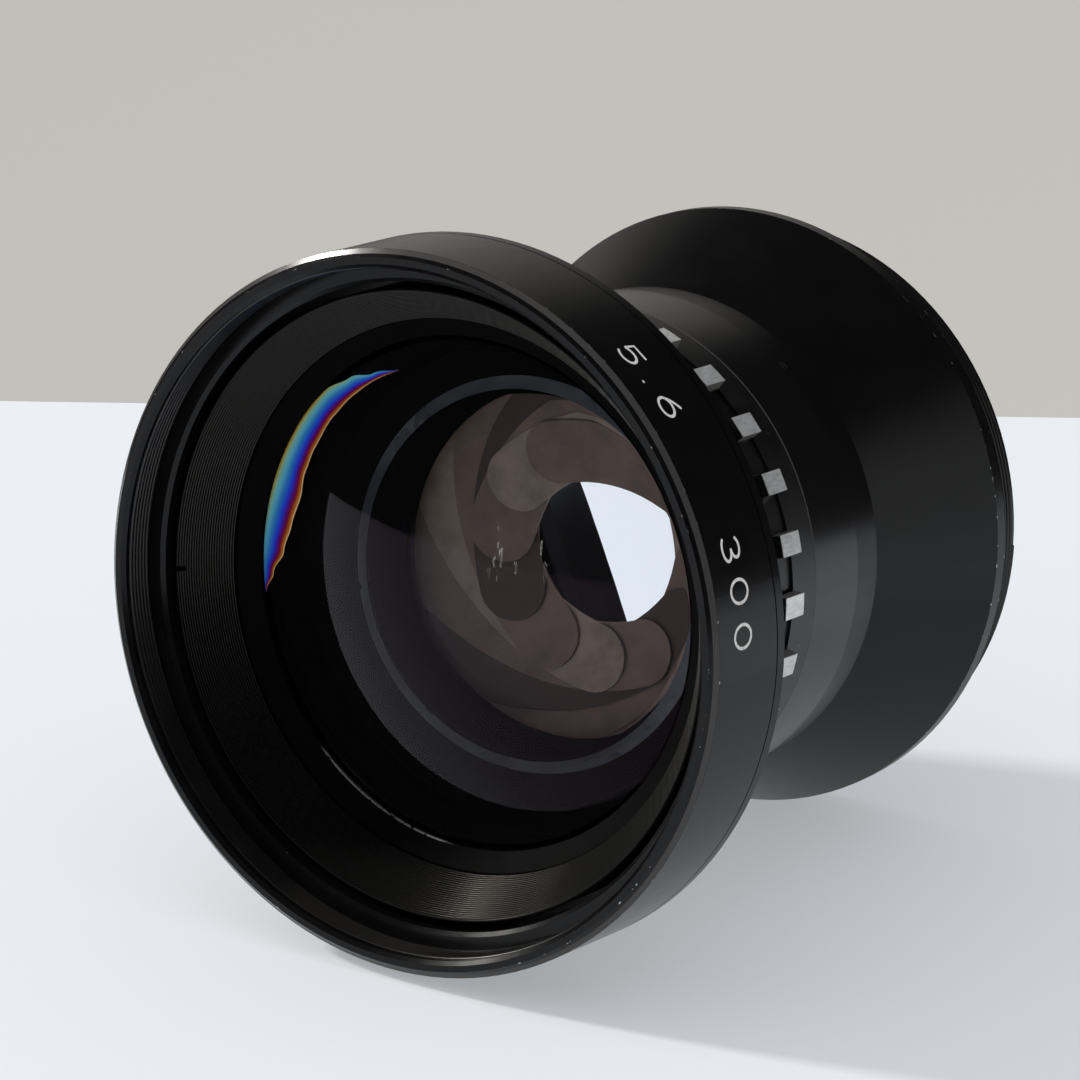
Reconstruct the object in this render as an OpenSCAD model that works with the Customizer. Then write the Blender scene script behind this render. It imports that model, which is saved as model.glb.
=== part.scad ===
// Large view-camera lens in a barrel mount, 300 mm at 1:5.6, lying on its side.
//
// Stations run back along the optical axis in mm from the front ring's corner,
// so a profile is a list of [radius, station] and the whole lens is drawn with
// its front towards +Z. lay_down() then puts it on the table: axis along Y,
// front towards -Y, resting on the front ring and on the rim of the rear flange.

/* [Barrel] */
// Bore of the barrel, which the glass, the iris and both cells are fitted to
bore_d = 73; // [70:0.5:80]
// Wall of the barrel under the aperture ring
barrel_wall = 1.5; // [1.3:0.1:3]
// Rise of the fixed band between the two seams over the barrel
band_rise = 1.3; // [1:0.1:1.6]
// Length of that band
band_len = 12.7; // [10:0.1:16]

/* [Front ring] */
// Wall between the filter thread and the ring's outside
hood_wall = 2.8; // [2:0.1:5]
// Length of the front ring behind its corner
hood_len = 18; // [16.5:0.5:22]
// Bevel between the front ring's outside and its face
hood_bevel = 1.2; // [0.6:0.1:1.6]
// Depth of the filter thread's wall
filter_depth = 4.9; // [4:0.1:5.4]
// Width of the lip between the filter thread and the baffle ring
lip_w = 4; // [3:0.1:6]
// Distance from the scribed line to the ring's rear edge
scribe_inset = 2.5; // [1.5:0.1:4]

/* [Ribbed baffle ring] */
// Station of the ribbed cone's front end
baffle_front = 6.3; // [5.6:0.1:7]
// Length of the ribbed cone
baffle_len = 7.5; // [6:0.1:8.4]
// Width of the ribbed cone, seen from the front
baffle_w = 5.6; // [5:0.1:7]
// Number of ribs on the cone
ribs = 22; // [12:1:26]
// Width of the two spanner slots
spanner_slot_w = 0.8; // [0.6:0.1:1.6]
// Place of the spanner slots, turned from the lens's own +X
spanner_turn = 3.5; // [0:0.1:90]

/* [Front cell and aperture ring] */
// Length of the front cell's cone behind the front ring
cell_len = 19; // [18:0.1:22]
// Wall of the aperture ring over the barrel
ring_wall = 1.45; // [1.3:0.05:2.5]
// Length of the ring's plain collar in front of its cogs
collar_len = 2.9; // [2:0.1:4]
// Length of the ring's plain tail behind its cogs
tail_len = 6.7; // [6:0.1:9]
// Rise of the cogs over the ring's outside
cog_rise = 1.95; // [1:0.05:3]
// Number of cogs
cogs = 27; // [18:1:30]
// Width of one cog
cog_w = 3.4; // [2.6:0.1:4]
// Length of one cog along the axis
cog_len = 5; // [4:0.1:6]
// Place of the first cog, turned from the lens's own +X
cog_turn = 1.4; // [0:0.1:20]

/* [Rear flange] */
// Wall of the flange's short band over the bore
flange_wall = 2.3; // [2:0.1:4]
// Length of that band
flange_band_len = 6.2; // [4:0.1:9]
// Length of the flare
flare_len = 20.7; // [16:0.1:26]
// Diameter of the mounting thread behind the rim
mount_d = 90.4; // [86:0.1:100]
// Length of the mounting thread's part
mount_len = 9; // [6:0.1:14]
// Rise of the rim over the mounting thread
rim_rise = 3.2; // [2:0.1:5]
// Width of the rim's cylindrical land
rim_w = 2.2; // [1.5:0.1:4]

/* [Glass] */
// How much wider in radius the front pair of elements is than the bore
front_glass_rise = 3.5; // [3:0.1:5]
// Ledge between the front glass and the baffle's mouth
front_ledge = 2.6; // [2:0.1:4]
// Wall of the rear cell round the rear pair of elements
rear_cell_wall = 2.5; // [2:0.1:4]
// Radius of the outermost front surface
front_curve = 95; // [85:1:120]
// Station of the front glass's vertex
front_vertex = 8.9; // [8:0.1:10]

/* [Iris] */
// Number of blades
blades = 12; // [12:1:12]
// How far inside the bore the blades' edges stand when fully drawn back
open_inset = 14.5; // [14.3:0.1:14.9]
// Thickness of one blade
blade_t = 0.2; // [0.1:0.05:0.25]
// Distance from one blade's layer to the next
blade_pitch = 0.35; // [0.3:0.01:0.35]
// Turn of the aperture ring from open to closed, in degrees
ring_travel = 45; // [30:1:45]
// Turn of a blade for each degree of the ring
blade_ratio = 0.65; // [0.5:0.01:0.65]
// Where the ring stands now, in degrees from open
ring_now = 33; // [0:1:45]

/* [Hidden] */
$fn = 180;

// Fits: running clearance on a radius, the step between fixed pieces that
// screw together, and the open seam between two outside bands.
running = 0.05;
seated = 0.1;
seam_w = 0.3;

// Radii, each from the bore outwards or inwards.
bore_r = bore_d / 2;
barrel_r = bore_r + barrel_wall;
band_r = barrel_r + band_rise;
ring_r = barrel_r + ring_wall;
cog_r = ring_r + cog_rise;
flange_band_r = bore_r + flange_wall;
mount_r = mount_d / 2;
rim_r = mount_r + rim_rise;
inner_r = bore_r - 3.5;
shoulder_r = inner_r + 4;
front_r = bore_r + front_glass_rise;
mouth_r = front_r + front_ledge;
cell_mouth_r = mouth_r + 0.6;
cell_r = cell_mouth_r + 1.8;
baffle_r = mouth_r + baffle_w;
filter_r = baffle_r + lip_w;
hood_r = filter_r + hood_wall;
rear_r = bore_r - rear_cell_wall;
rear_inner_r = rear_r - 4;

// Stations, each from the piece in front of it.
baffle_rear = baffle_front + baffle_len;
ring_front = hood_len + cell_len;
cog_front = ring_front + collar_len;
seam_1 = cog_front + cog_len + tail_len;
ring_rear = seam_1 - seam_w / 2;
seam_2 = seam_1 + band_len;
flare_front = seam_2 + flange_band_len;
rim_front = flare_front + flare_len;
rear_end = rim_front + rim_w + mount_len;

// Iris: the base ring holds the pivots, the cam ring's slots drive the blades.
base_front = ring_front + 3;
base_t = 1.2;
stack_front = base_front + base_t + 0.3;
stack_t = blades * blade_pitch;
cam_front = stack_front + stack_t + 0.35;
cam_t = 1.2;
keeper_front = cam_front + cam_t + 0.3;
keeper_t = 1.4;
pin_r = 0.6;
pivot_r = bore_r - 1.7;
open_r = bore_r - open_inset;
blade_band_r = open_r + 8.2;
lever = 6;
lever_lean = 12;
blade_span = 88;
blade_now = ring_now * blade_ratio;
iris_hole_r = open_r + 0.6;

// Glass: surface radii, positive where the centre of curvature lies behind the
// surface, their vertex stations, and the stations of the seats at their edges.
front_rim = sag_station(front_curve, front_vertex, front_r);
front_cement = -250;
front_cement_vertex = front_vertex + 14;
front_back = 150;
front_back_vertex = front_cement_vertex + 3;
front_seat = sag_station(front_back, front_back_vertex, shoulder_r);
inner_front = 95;
inner_front_vertex = front_back_vertex + 1.3;
inner_front_rim = sag_station(inner_front, inner_front_vertex, inner_r);
inner_back = 110;
inner_back_vertex = inner_front_vertex + 5;
inner_seat = sag_station(inner_back, inner_back_vertex, inner_r - 2);
rear_cell_front = keeper_front + keeper_t + 2.65;
rear_cell_rear = flare_front + 7.9;
rear_inner_front = -100;
rear_inner_front_vertex = rear_cell_front + 5.4;
rear_inner_seat = sag_station(rear_inner_front, rear_inner_front_vertex, rear_inner_r - 1.8);
rear_inner_back = -88;
rear_inner_back_vertex = rear_inner_front_vertex + 4.6;
rear_front = -140;
rear_front_vertex = rear_inner_back_vertex + 1.2;
rear_seat = sag_station(rear_front, rear_front_vertex, rear_r - 3);
rear_cement = 240;
rear_cement_vertex = rear_front_vertex + 2.8;
rear_back = -92;
rear_vertex = rear_cement_vertex + 13;

// The lens lies on the front ring's rear corner and on the rim's, so its axis
// dips towards the rear.
corner = 0.6;
dip = atan((hood_r - rim_r) / (rim_front + rim_w - hood_len + corner));
lift = hood_r * cos(dip) + (hood_len - corner) * sin(dip);
face_y = -hood_bevel * cos(dip) - (hood_r - hood_bevel) * sin(dip);
rear_y = rear_end * cos(dip) + (mount_r - 0.5) * sin(dip);

// Station of a spherical surface at a radius from the axis.
function sag_station(curve, vertex, r) =
    vertex + sign(curve) * (abs(curve) - sqrt(curve * curve - r * r));

// Points of a spherical surface from the axis out to radius r.
function dome(curve, vertex, r, steps = 18) =
    [for (i = [0:steps]) let (x = r * i / steps) [x, sag_station(curve, vertex, x)]];

function reversed(list) = [for (i = [len(list) - 1:-1:0]) list[i]];

function turn(p, a) = [p[0] * cos(a) - p[1] * sin(a), p[0] * sin(a) + p[1] * cos(a)];

// The drive pin seen from the axis, with its blade turned by a from open.
function drive_pin(a) =
    [pivot_r, 0] + turn([-lever * sin(lever_lean), lever * cos(lever_lean)], a);

// The same pin seen from the cam ring as it stands now.
function cam_point(a) = turn(drive_pin(a), ring_now - a / blade_ratio);

// Lays the lens on the table, with the origin under the middle of its box.
module lay_down() {
    translate([0, -(face_y + rear_y) / 2, lift])
        rotate([90 - dip, 0, 0])
            children();
}

// A ring or disc turned from a list of [radius, station].
module turned(profile) {
    rotate_extrude()
        polygon([for (p = profile) [p[0], -p[1]]]);
}

// A plain tube between two stations.
module tube(outer_r, inner_r, front, rear) {
    turned([[outer_r, front], [outer_r, rear], [inner_r, rear], [inner_r, front]]);
}

// An element between two spherical surfaces, with its edge's corners.
module element(front, edge, back) {
    turned(concat(front, edge, reversed(back)));
}

// Two opposite spanner slots cut back from a station.
module spanner_slots(inner_r, outer_r, station, depth) {
    for (side = [0, 180])
        rotate(spanner_turn + side)
            translate([inner_r, -spanner_slot_w / 2, -station - depth])
                cube([outer_r - inner_r, spanner_slot_w, depth + 1]);
}

// ---------------------------------------------------------------- front cell

module front_ring() {
    lip_r = baffle_r + 1.1;
    color("#2a2a2c") lay_down() turned([
        [filter_r + 0.6, -hood_bevel],
        [hood_r - hood_bevel, -hood_bevel],
        [hood_r, 0],
        [hood_r, hood_len - scribe_inset - 0.15],
        [hood_r - 0.25, hood_len - scribe_inset],
        [hood_r, hood_len - scribe_inset + 0.15],
        [hood_r, hood_len - corner],
        [hood_r - corner, hood_len],
        [cell_r, hood_len],
        [cell_r, hood_len - 2],
        [lip_r, hood_len - 2],
        [lip_r, filter_depth + 0.6],
        [lip_r + 0.6, filter_depth],
        [filter_r, filter_depth],
        [filter_r, -hood_bevel + 0.6]]);
}

// The cone is cut into ribs, each a fine annular saw tooth that traps light.
module baffle_ring() {
    slope = (mouth_r - baffle_r + 0.6) / (baffle_rear - baffle_front);
    pitch = (baffle_rear - baffle_front) / ribs;
    teeth = [for (i = [0:ribs - 1]) let (s = baffle_front + i * pitch,
            r = baffle_r - 0.6 + slope * i * pitch)
        each [[r, s], [r, s + pitch * 0.55], [r + 0.16, s + pitch * 0.7]]];
    color("#2c2c2e") lay_down() difference() {
        turned(concat(
            [[baffle_r, hood_len - 2.2], [baffle_r, baffle_front + 0.3],
                [baffle_r - 0.3, baffle_front]],
            teeth,
            [[mouth_r, baffle_rear], [mouth_r, baffle_rear + 0.6],
                [cell_r - 0.4, baffle_rear + 0.6], [cell_r - 0.4, hood_len - 2.2]]));
        spanner_slots(baffle_r - 1.9, baffle_r + 1, baffle_front, 1.2);
    }
}

module front_retaining_ring() {
    color("#1b1b1c") lay_down() turned([
        [cell_mouth_r - seated, baffle_rear + 0.8],
        [mouth_r - 0.2, baffle_rear + 0.8],
        [front_r - 0.5, front_rim - 1],
        [front_r - 0.5, front_rim - 0.25],
        [front_r + 0.1, front_rim + 0.1],
        [cell_mouth_r - seated, front_rim + 0.1]]);
}

module front_outer_element() {
    color("#bcd3e6", 0.5) lay_down() element(
        dome(front_curve, front_vertex, front_r), [],
        dome(front_cement, front_cement_vertex, front_r));
}

module front_cemented_element() {
    color("#c6d6dc", 0.5) lay_down() element(
        dome(front_cement, front_cement_vertex, front_r),
        [[front_r, front_seat - 3.1]],
        dome(front_back, front_back_vertex, shoulder_r));
}

module front_spacer() {
    color("#1e1e1f") lay_down() turned([
        [shoulder_r, front_seat + 0.05],
        [shoulder_r, inner_front_rim - 0.17],
        [inner_r, inner_front_rim - 0.17],
        [inner_r - 0.8, inner_front_rim - 0.4],
        [inner_r + 1.5, sag_station(front_back, front_back_vertex, inner_r + 1.5) + 0.1]]);
}

module front_inner_element() {
    color("#c3d2da", 0.5) lay_down() element(
        dome(inner_front, inner_front_vertex, inner_r),
        [[inner_r, inner_seat - 1.26]],
        dome(inner_back, inner_back_vertex, inner_r - 2));
}

// The cell carries the front glass and screws into the barrel.
module front_cell() {
    neck_r = ring_r - 0.1;
    color("#242426") lay_down() turned([
        [cell_r, hood_len - 1.9],
        [cell_r, hood_len],
        [cell_r + 2, hood_len],
        [cell_r + 2, hood_len + 1],
        [neck_r, ring_front - 3],
        [neck_r, ring_front - 0.25],
        [bore_r, ring_front - 0.25],
        [bore_r, base_front - 0.2],
        [inner_r - 0.6, base_front - 0.2],
        [inner_r - 2.2, inner_seat + 0.94],
        [inner_r - 2.2, inner_seat + 0.24],
        [inner_r + seated, inner_seat - 1.06],
        [inner_r + seated, inner_front_rim - 0.12],
        [shoulder_r + seated, inner_front_rim - 0.12],
        [shoulder_r + seated, front_seat + 0.26],
        [front_r + seated, front_seat - 2.9],
        [front_r + seated, front_rim + 0.2],
        [cell_mouth_r, front_rim + 0.2],
        [cell_mouth_r, hood_len - 1.9]]);
}

// -------------------------------------------------------- barrel and its ring

// The barrel's wall is slotted for the screw that ties the aperture ring to
// the cam ring.
module main_barrel() {
    slot_half = 1.3;
    screw_station = cam_front + cam_t / 2;
    color("#2b2b2d") lay_down() difference() {
        turned([
            [bore_r, ring_front - 0.1],
            [barrel_r, ring_front - 0.1],
            [barrel_r, seam_1],
            [band_r - 0.3, seam_1],
            [band_r, seam_1 + seam_w],
            [band_r, seam_2 - seam_w],
            [band_r - 0.3, seam_2],
            [bore_r, seam_2]]);
        rotate(screw_turn() - ring_now - 3)
            rotate_extrude(angle = ring_travel + 6)
                translate([bore_r - 1, -screw_station - slot_half])
                    square([4, slot_half * 2]);
    }
}

// Angle of the drive screw as the ring stands now.
function screw_turn() = 205;

module aperture_ring() {
    floor_r = cog_r - 2.4;
    screw_station = cam_front + cam_t / 2;
    color("#c9cacb") lay_down() difference() {
        union() {
            turned([
                [barrel_r + running, ring_front],
                [floor_r + 0.2, ring_front],
                [floor_r + 0.2, cog_front - 0.9],
                [floor_r, cog_front],
                [floor_r, cog_front + cog_len],
                [ring_r, cog_front + cog_len],
                [ring_r, ring_rear - 0.15],
                [ring_r - 0.15, ring_rear],
                [barrel_r + running, ring_rear]]);
            intersection() {
                tube(cog_r, floor_r - 0.2, cog_front, cog_front + cog_len);
                for (i = [0:cogs - 1])
                    rotate(i * 360 / cogs + cog_turn)
                        translate([floor_r - 1, -cog_w / 2, -cog_front - cog_len])
                            cube([6, cog_w, cog_len]);
            }
        }
        rotate(screw_turn())
            translate([0, 0, -screw_station])
                rotate([0, 90, 0])
                    cylinder(r = 1.6, h = cog_r);
    }
}

// Flat-headed screw through the ring and the barrel's slot into the cam ring.
module aperture_ring_screw() {
    screw_station = cam_front + cam_t / 2;
    color("#8b8d90") lay_down()
        rotate(screw_turn())
            translate([0, 0, -screw_station])
                rotate([0, 90, 0])
                    difference() {
                        union() {
                            translate([0, 0, bore_r - 1.6])
                                cylinder(r = 0.5, h = 3);
                            translate([0, 0, bore_r + 0.1])
                                cylinder(r = 1.1, h = barrel_r - bore_r + 0.4);
                            translate([0, 0, barrel_r + 0.3])
                                cylinder(r = 1.55, h = ring_r - barrel_r - 0.4);
                        }
                        translate([-0.2, -3, ring_r - 0.6])
                            cube([0.4, 6, 2]);
                    }
}

// ----------------------------------------------------------------------- iris

module iris_base_ring() {
    color("#303032") lay_down() difference() {
        tube(bore_r, iris_hole_r, base_front, base_front + base_t);
        for (i = [0:blades - 1])
            rotate(i * 360 / blades)
                translate([pivot_r, 0, -base_front - base_t - 1])
                    cylinder(r = pin_r + running, h = base_t + 2);
    }
}

// One slot of the cam ring: the path that keeps blade and ring in one ratio.
module cam_slot() {
    steps = 14;
    half = pin_r + 0.08;
    first = -0.8;
    last = ring_travel * blade_ratio + 0.8;
    angles = [for (i = [0:steps]) first + (last - first) * i / steps];
    path = [for (a = angles) cam_point(a)];
    side = [for (a = angles) let (d = cam_point(a + 0.05) - cam_point(a - 0.05))
        [-d[1], d[0]] * half / norm(d)];
    polygon(concat([for (i = [0:steps]) path[i] + side[i]],
        [for (i = [steps:-1:0]) path[i] - side[i]]));
    for (end = [path[0], path[steps]])
        translate(end)
            circle(r = half);
}

module iris_cam_ring() {
    color("#b49a62") lay_down() difference() {
        tube(bore_r - running, iris_hole_r, cam_front, cam_front + cam_t);
        translate([0, 0, -cam_front - cam_t - 1])
            linear_extrude(cam_t + 2)
                for (i = [0:blades - 1])
                    rotate(i * 360 / blades)
                        cam_slot();
        rotate(screw_turn())
            translate([bore_r - 2, 0, -cam_front - cam_t / 2])
                rotate([0, 90, 0])
                    cylinder(r = 0.5, h = 4);
    }
}

module iris_keeper_ring() {
    color("#262628") lay_down()
        tube(bore_r, iris_hole_r + 4, keeper_front, keeper_front + keeper_t);
}

// Points of an arc about centre, from one angle to another.
function arc(centre, r, from, to, steps) =
    [for (i = [0:steps]) let (a = from + (to - from) * i / steps)
        centre + r * [cos(a), sin(a)]];

// Outline of one blade, drawn back to the open stop: the boss round the pivot,
// the pad round the drive pin, then the crescent out and back.
module blade_outline() {
    axis = [0, 0];
    mid = (open_r + blade_band_r) / 2;
    half = (blade_band_r - open_r) / 2;
    tip = turn([mid, 0], blade_span);
    polygon(concat(
        arc([pivot_r, 0], 1.4, -90, 30, 6),
        arc(drive_pin(0), 1.3, 10, 80, 4),
        arc(axis, blade_band_r, 16, blade_span, 18),
        arc(tip, half, blade_span + 15, blade_span + 165, 10),
        arc(axis, open_r, blade_span, 0, 20),
        [[open_r + 2, -2.1], [open_r + 6.5, -2.4]]));
}

// Blade in layer i: a crescent with a pivot pin to the base ring in front and
// a drive pin to the cam ring behind. The layers never meet, so the pins'
// lengths step from blade to blade.
module iris_blade(i) {
    layer = stack_front + i * blade_pitch;
    color("#4a4643") lay_down()
        rotate(i * 360 / blades)
            translate([pivot_r, 0, 0]) rotate(blade_now) translate([-pivot_r, 0, 0]) {
                translate([0, 0, -layer - blade_t])
                    linear_extrude(blade_t)
                        blade_outline();
                translate([pivot_r, 0, -layer - blade_t / 2])
                    cylinder(r = pin_r, h = layer + blade_t / 2 - base_front - 0.1);
                translate(concat(drive_pin(0), -cam_front - cam_t + 0.1))
                    cylinder(r = pin_r, h = cam_front + cam_t - 0.1 - layer - blade_t / 2);
            }
}

// ----------------------------------------------------------------- rear flange

module rear_flange() {
    color("#29292b") lay_down() difference() {
        turned([
            [flange_band_r - 0.25, seam_2 + 0.1],
            [flange_band_r, seam_2 + seam_w],
            [flange_band_r, flare_front],
            [rim_r, rim_front],
            [rim_r, rim_front + rim_w],
            [mount_r - 0.6, rim_front + rim_w],
            [mount_r - 0.6, rim_front + rim_w + 0.8],
            [mount_r, rim_front + rim_w + 1.2],
            [mount_r, rear_end - 0.5],
            [mount_r - 0.5, rear_end],
            [mount_r - 2, rear_end],
            [mount_r - 2, rim_front - 2],
            [bore_r + 0.8, flare_front + 5],
            [bore_r, flare_front + 5],
            [bore_r, seam_2 + 0.1]]);
        grub_screws_at() cylinder(r = 0.9 + seated, h = 6);
    }
}

// Three radial places round the flange's band, one of them in view.
module grub_screws_at() {
    for (i = [0:2])
        rotate(54 + i * 120)
            translate([bore_r + 0.4, 0, -seam_2 - 1.3])
                rotate([0, 90, 0])
                    children();
}

module flange_grub_screws() {
    color("#a7a8aa") lay_down()
        grub_screws_at() difference() {
            cylinder(r = 0.9, h = flange_wall - 0.5);
            translate([-0.15, -2, flange_wall - 0.9])
                cube([0.3, 4, 2]);
        }
}

// ------------------------------------------------------------------- rear cell

module rear_cell() {
    outer = bore_r - seated;
    color("#232325") lay_down() turned([
        [rear_inner_r - 1.7, rear_cell_front],
        [outer, rear_cell_front],
        [outer, rear_cell_rear - 0.5],
        [outer - 0.5, rear_cell_rear],
        [rear_r + seated, rear_cell_rear],
        [rear_r + seated, rear_seat + 1.47],
        [rear_r - 2.5, rear_seat - 0.13],
        [rear_inner_r + seated, rear_seat - 0.13],
        [rear_inner_r + seated, rear_inner_seat + 0.46],
        [rear_inner_r - 1.7, rear_inner_seat - 0.24]]);
}

module rear_inner_element() {
    color("#c3d2da", 0.5) lay_down() element(
        dome(rear_inner_front, rear_inner_front_vertex, rear_inner_r - 1.8),
        [[rear_inner_r, rear_inner_seat + 0.76]],
        dome(rear_inner_back, rear_inner_back_vertex, rear_inner_r));
}

module rear_spacer() {
    front = sag_station(rear_inner_back, rear_inner_back_vertex, rear_inner_r) + 0.12;
    rear = sag_station(rear_front, rear_front_vertex, rear_inner_r) - 0.1;
    color("#1e1e1f") lay_down() turned([
        [rear_inner_r, front],
        [rear_inner_r, rear],
        [rear_inner_r - 1.2, rear + 0.25],
        [rear_inner_r - 1.2, front + 0.45]]);
}

module rear_cemented_element() {
    color("#c6d6dc", 0.5) lay_down() element(
        dome(rear_front, rear_front_vertex, rear_r - 3),
        [[rear_r, rear_seat + 1.67]],
        dome(rear_cement, rear_cement_vertex, rear_r));
}

module rear_outer_element() {
    color("#bcd3e6", 0.5) lay_down() element(
        dome(rear_cement, rear_cement_vertex, rear_r), [],
        dome(rear_back, rear_vertex, rear_r));
}

module rear_retaining_ring() {
    rim = sag_station(rear_back, rear_vertex, rear_r);
    rear = rear_cell_rear - 0.3;
    color("#1b1b1c") lay_down() difference() {
        turned([
            [rear_r, rim + 0.05],
            [rear_r, rear],
            [rear_r - 1.4, rear],
            [rear_r - 2.4, rim + 1.5],
            [rear_r - 2.4, sag_station(rear_back, rear_vertex, rear_r - 2.4) + 0.1]]);
        rotate([0, 180, 0])
            spanner_slots(rear_r - 3, rear_r + 1, -rear, 1.2);
    }
}

front_ring();
baffle_ring();
front_retaining_ring();
front_outer_element();
front_cemented_element();
front_spacer();
front_inner_element();
front_cell();
main_barrel();
aperture_ring();
aperture_ring_screw();
iris_base_ring();
iris_cam_ring();
iris_keeper_ring();
iris_blade(0);  // iris_blade_01
iris_blade(1);  // iris_blade_02
iris_blade(2);  // iris_blade_03
iris_blade(3);  // iris_blade_04
iris_blade(4);  // iris_blade_05
iris_blade(5);  // iris_blade_06
iris_blade(6);  // iris_blade_07
iris_blade(7);  // iris_blade_08
iris_blade(8);  // iris_blade_09
iris_blade(9);  // iris_blade_10
iris_blade(10);  // iris_blade_11
iris_blade(11);  // iris_blade_12
rear_flange();
flange_grub_screws();
rear_cell();
rear_inner_element();
rear_spacer();
rear_cemented_element();
rear_outer_element();
rear_retaining_ring();
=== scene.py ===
"""A large view-camera lens in a barrel mount, lying on its side on a pale table."""

import logging
import math
from dataclasses import dataclass, field
from enum import Enum
from typing import Callable, Iterable, Sequence, Union

import bmesh
import bpy
from mathutils import Euler, Matrix, Vector
from mathutils.bvhtree import BVHTree


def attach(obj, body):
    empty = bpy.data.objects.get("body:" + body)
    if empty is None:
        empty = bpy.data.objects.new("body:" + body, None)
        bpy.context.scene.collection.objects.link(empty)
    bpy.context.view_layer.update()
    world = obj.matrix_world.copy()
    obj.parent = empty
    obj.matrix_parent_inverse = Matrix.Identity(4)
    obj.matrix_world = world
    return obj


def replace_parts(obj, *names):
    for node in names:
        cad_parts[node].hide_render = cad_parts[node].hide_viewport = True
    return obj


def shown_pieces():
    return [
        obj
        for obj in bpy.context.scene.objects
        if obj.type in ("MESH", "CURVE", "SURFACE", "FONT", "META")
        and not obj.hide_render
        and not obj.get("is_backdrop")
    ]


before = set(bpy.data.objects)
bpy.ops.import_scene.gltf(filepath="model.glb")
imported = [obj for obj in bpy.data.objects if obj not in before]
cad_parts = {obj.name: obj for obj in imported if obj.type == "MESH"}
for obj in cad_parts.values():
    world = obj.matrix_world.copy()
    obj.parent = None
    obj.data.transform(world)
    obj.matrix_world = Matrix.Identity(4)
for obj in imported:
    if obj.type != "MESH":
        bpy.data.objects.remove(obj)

log = logging.getLogger("lens")
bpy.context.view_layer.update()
BODY = "lens_body"

Socket = bpy.types.NodeSocket
Value = Union[Socket, float]
Tone = Union[Socket, tuple[float, float, float, float]]
Triple = tuple[float, float, float]

# Image points in the photograph's frame, in pixels of its 1080 x 1080.
W, H = 1080, 1080
IMAGE_POINTS: dict[str, tuple[float, float]] = {
    "left_edge_x": (114.1, 560.0),
    "right_edge_x": (1015.2, 530.0),
    "top_edge_y": (725.0, 208.6),
    "bottom_edge_y": (443.0, 978.0),
    "cog_upper": (708.3, 375.1),
    "cog_middle": (774.6, 482.6),
    "cog_lower": (785.6, 667.3),
    "slot_left": (178.0, 571.0),
    "seam_front": (801.0, 488.5),
    "seam_rear": (836.3, 460.0),
    "flare_corner": (872.5, 509.3),
    "grub_screw": (784.0, 366.0),
    "digit_5": (631.0, 354.5),
    "digit_6": (669.5, 406.0),
    "digit_3": (730.5, 549.0),
    "digit_0_first": (739.3, 591.3),
    "digit_0_second": (743.0, 636.5),
}


# ------------------------------------------------------------ lens coordinates


@dataclass(frozen=True)
class OpticalAxis:
    """The lens's own axis in the frame: stations run back along it in mm from the
    front ring's corner, and turns run from the lens's right towards its top."""

    dip_deg: float = 4.96323428
    lift: float = 56.29916
    start: float = -50.01662

    def point(self, x: float, up: float, station: float) -> Vector:
        """A point given across, up and along the lens in mm, as a place in the frame in metres."""
        c, s = math.cos(math.radians(self.dip_deg)), math.sin(math.radians(self.dip_deg))
        return Vector((x, up * s + station * c + self.start, up * c - station * s + self.lift)) / 1000

    def on_ring(self, radius: float, turn: float, station: float) -> Vector:
        """A point on a ring round the axis, in the frame in metres."""
        a = math.radians(turn)
        return self.point(radius * math.cos(a), radius * math.sin(a), station)

    def read(self, place: Vector) -> Triple:
        """Turns a place in the frame back into lens coordinates.

        Args:
            place: The place in metres.

        Returns:
            Its radius in mm, turn in degrees and station in mm.
        """
        c, s = math.cos(math.radians(self.dip_deg)), math.sin(math.radians(self.dip_deg))
        x, y, z = place.x * 1000, place.y * 1000 - self.start, place.z * 1000 - self.lift
        up, station = y * s + z * c, y * c - z * s
        return math.hypot(x, up), math.degrees(math.atan2(up, x)), station

    def matrix(self) -> Matrix:
        """Carries a mesh drawn in mm round +Z, with its front towards +Z, to its place."""
        turn = Euler((math.radians(90 - self.dip_deg), 0, 0)).to_matrix().to_4x4()
        return Matrix.Scale(0.001, 4) @ Matrix.Translation((0, self.start, self.lift)) @ turn


AXIS = OpticalAxis()


# ------------------------------------------------------------------ node tools


def node(tree: bpy.types.NodeTree, kind: str, inputs: dict | None = None, **settings: object) -> bpy.types.Node:
    """Adds one node to a tree.

    Args:
        tree: The tree that takes the node.
        kind: The node's type name.
        inputs: Values or sockets by input name or number.
        settings: Attributes of the node itself.

    Returns:
        The new node.
    """
    made = tree.nodes.new(kind)
    for name, value in settings.items():
        setattr(made, name, value)
    for key, value in (inputs or {}).items():
        socket = made.inputs[key]
        if isinstance(value, Socket):
            tree.links.new(value, socket)
        else:
            socket.default_value = value
    return made


def colour(hex_code: str) -> tuple[float, float, float, float]:
    """Turns an sRGB colour into the linear colour that Blender's sockets take.

    Args:
        hex_code: The colour as #rrggbb.

    Returns:
        Red, green, blue and a full alpha.
    """
    parts = [int(hex_code.lstrip("#")[i:i + 2], 16) / 255 for i in (0, 2, 4)]
    linear = [p / 12.92 if p <= 0.04045 else ((p + 0.055) / 1.055) ** 2.4 for p in parts]
    return (*linear, 1.0)


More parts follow.
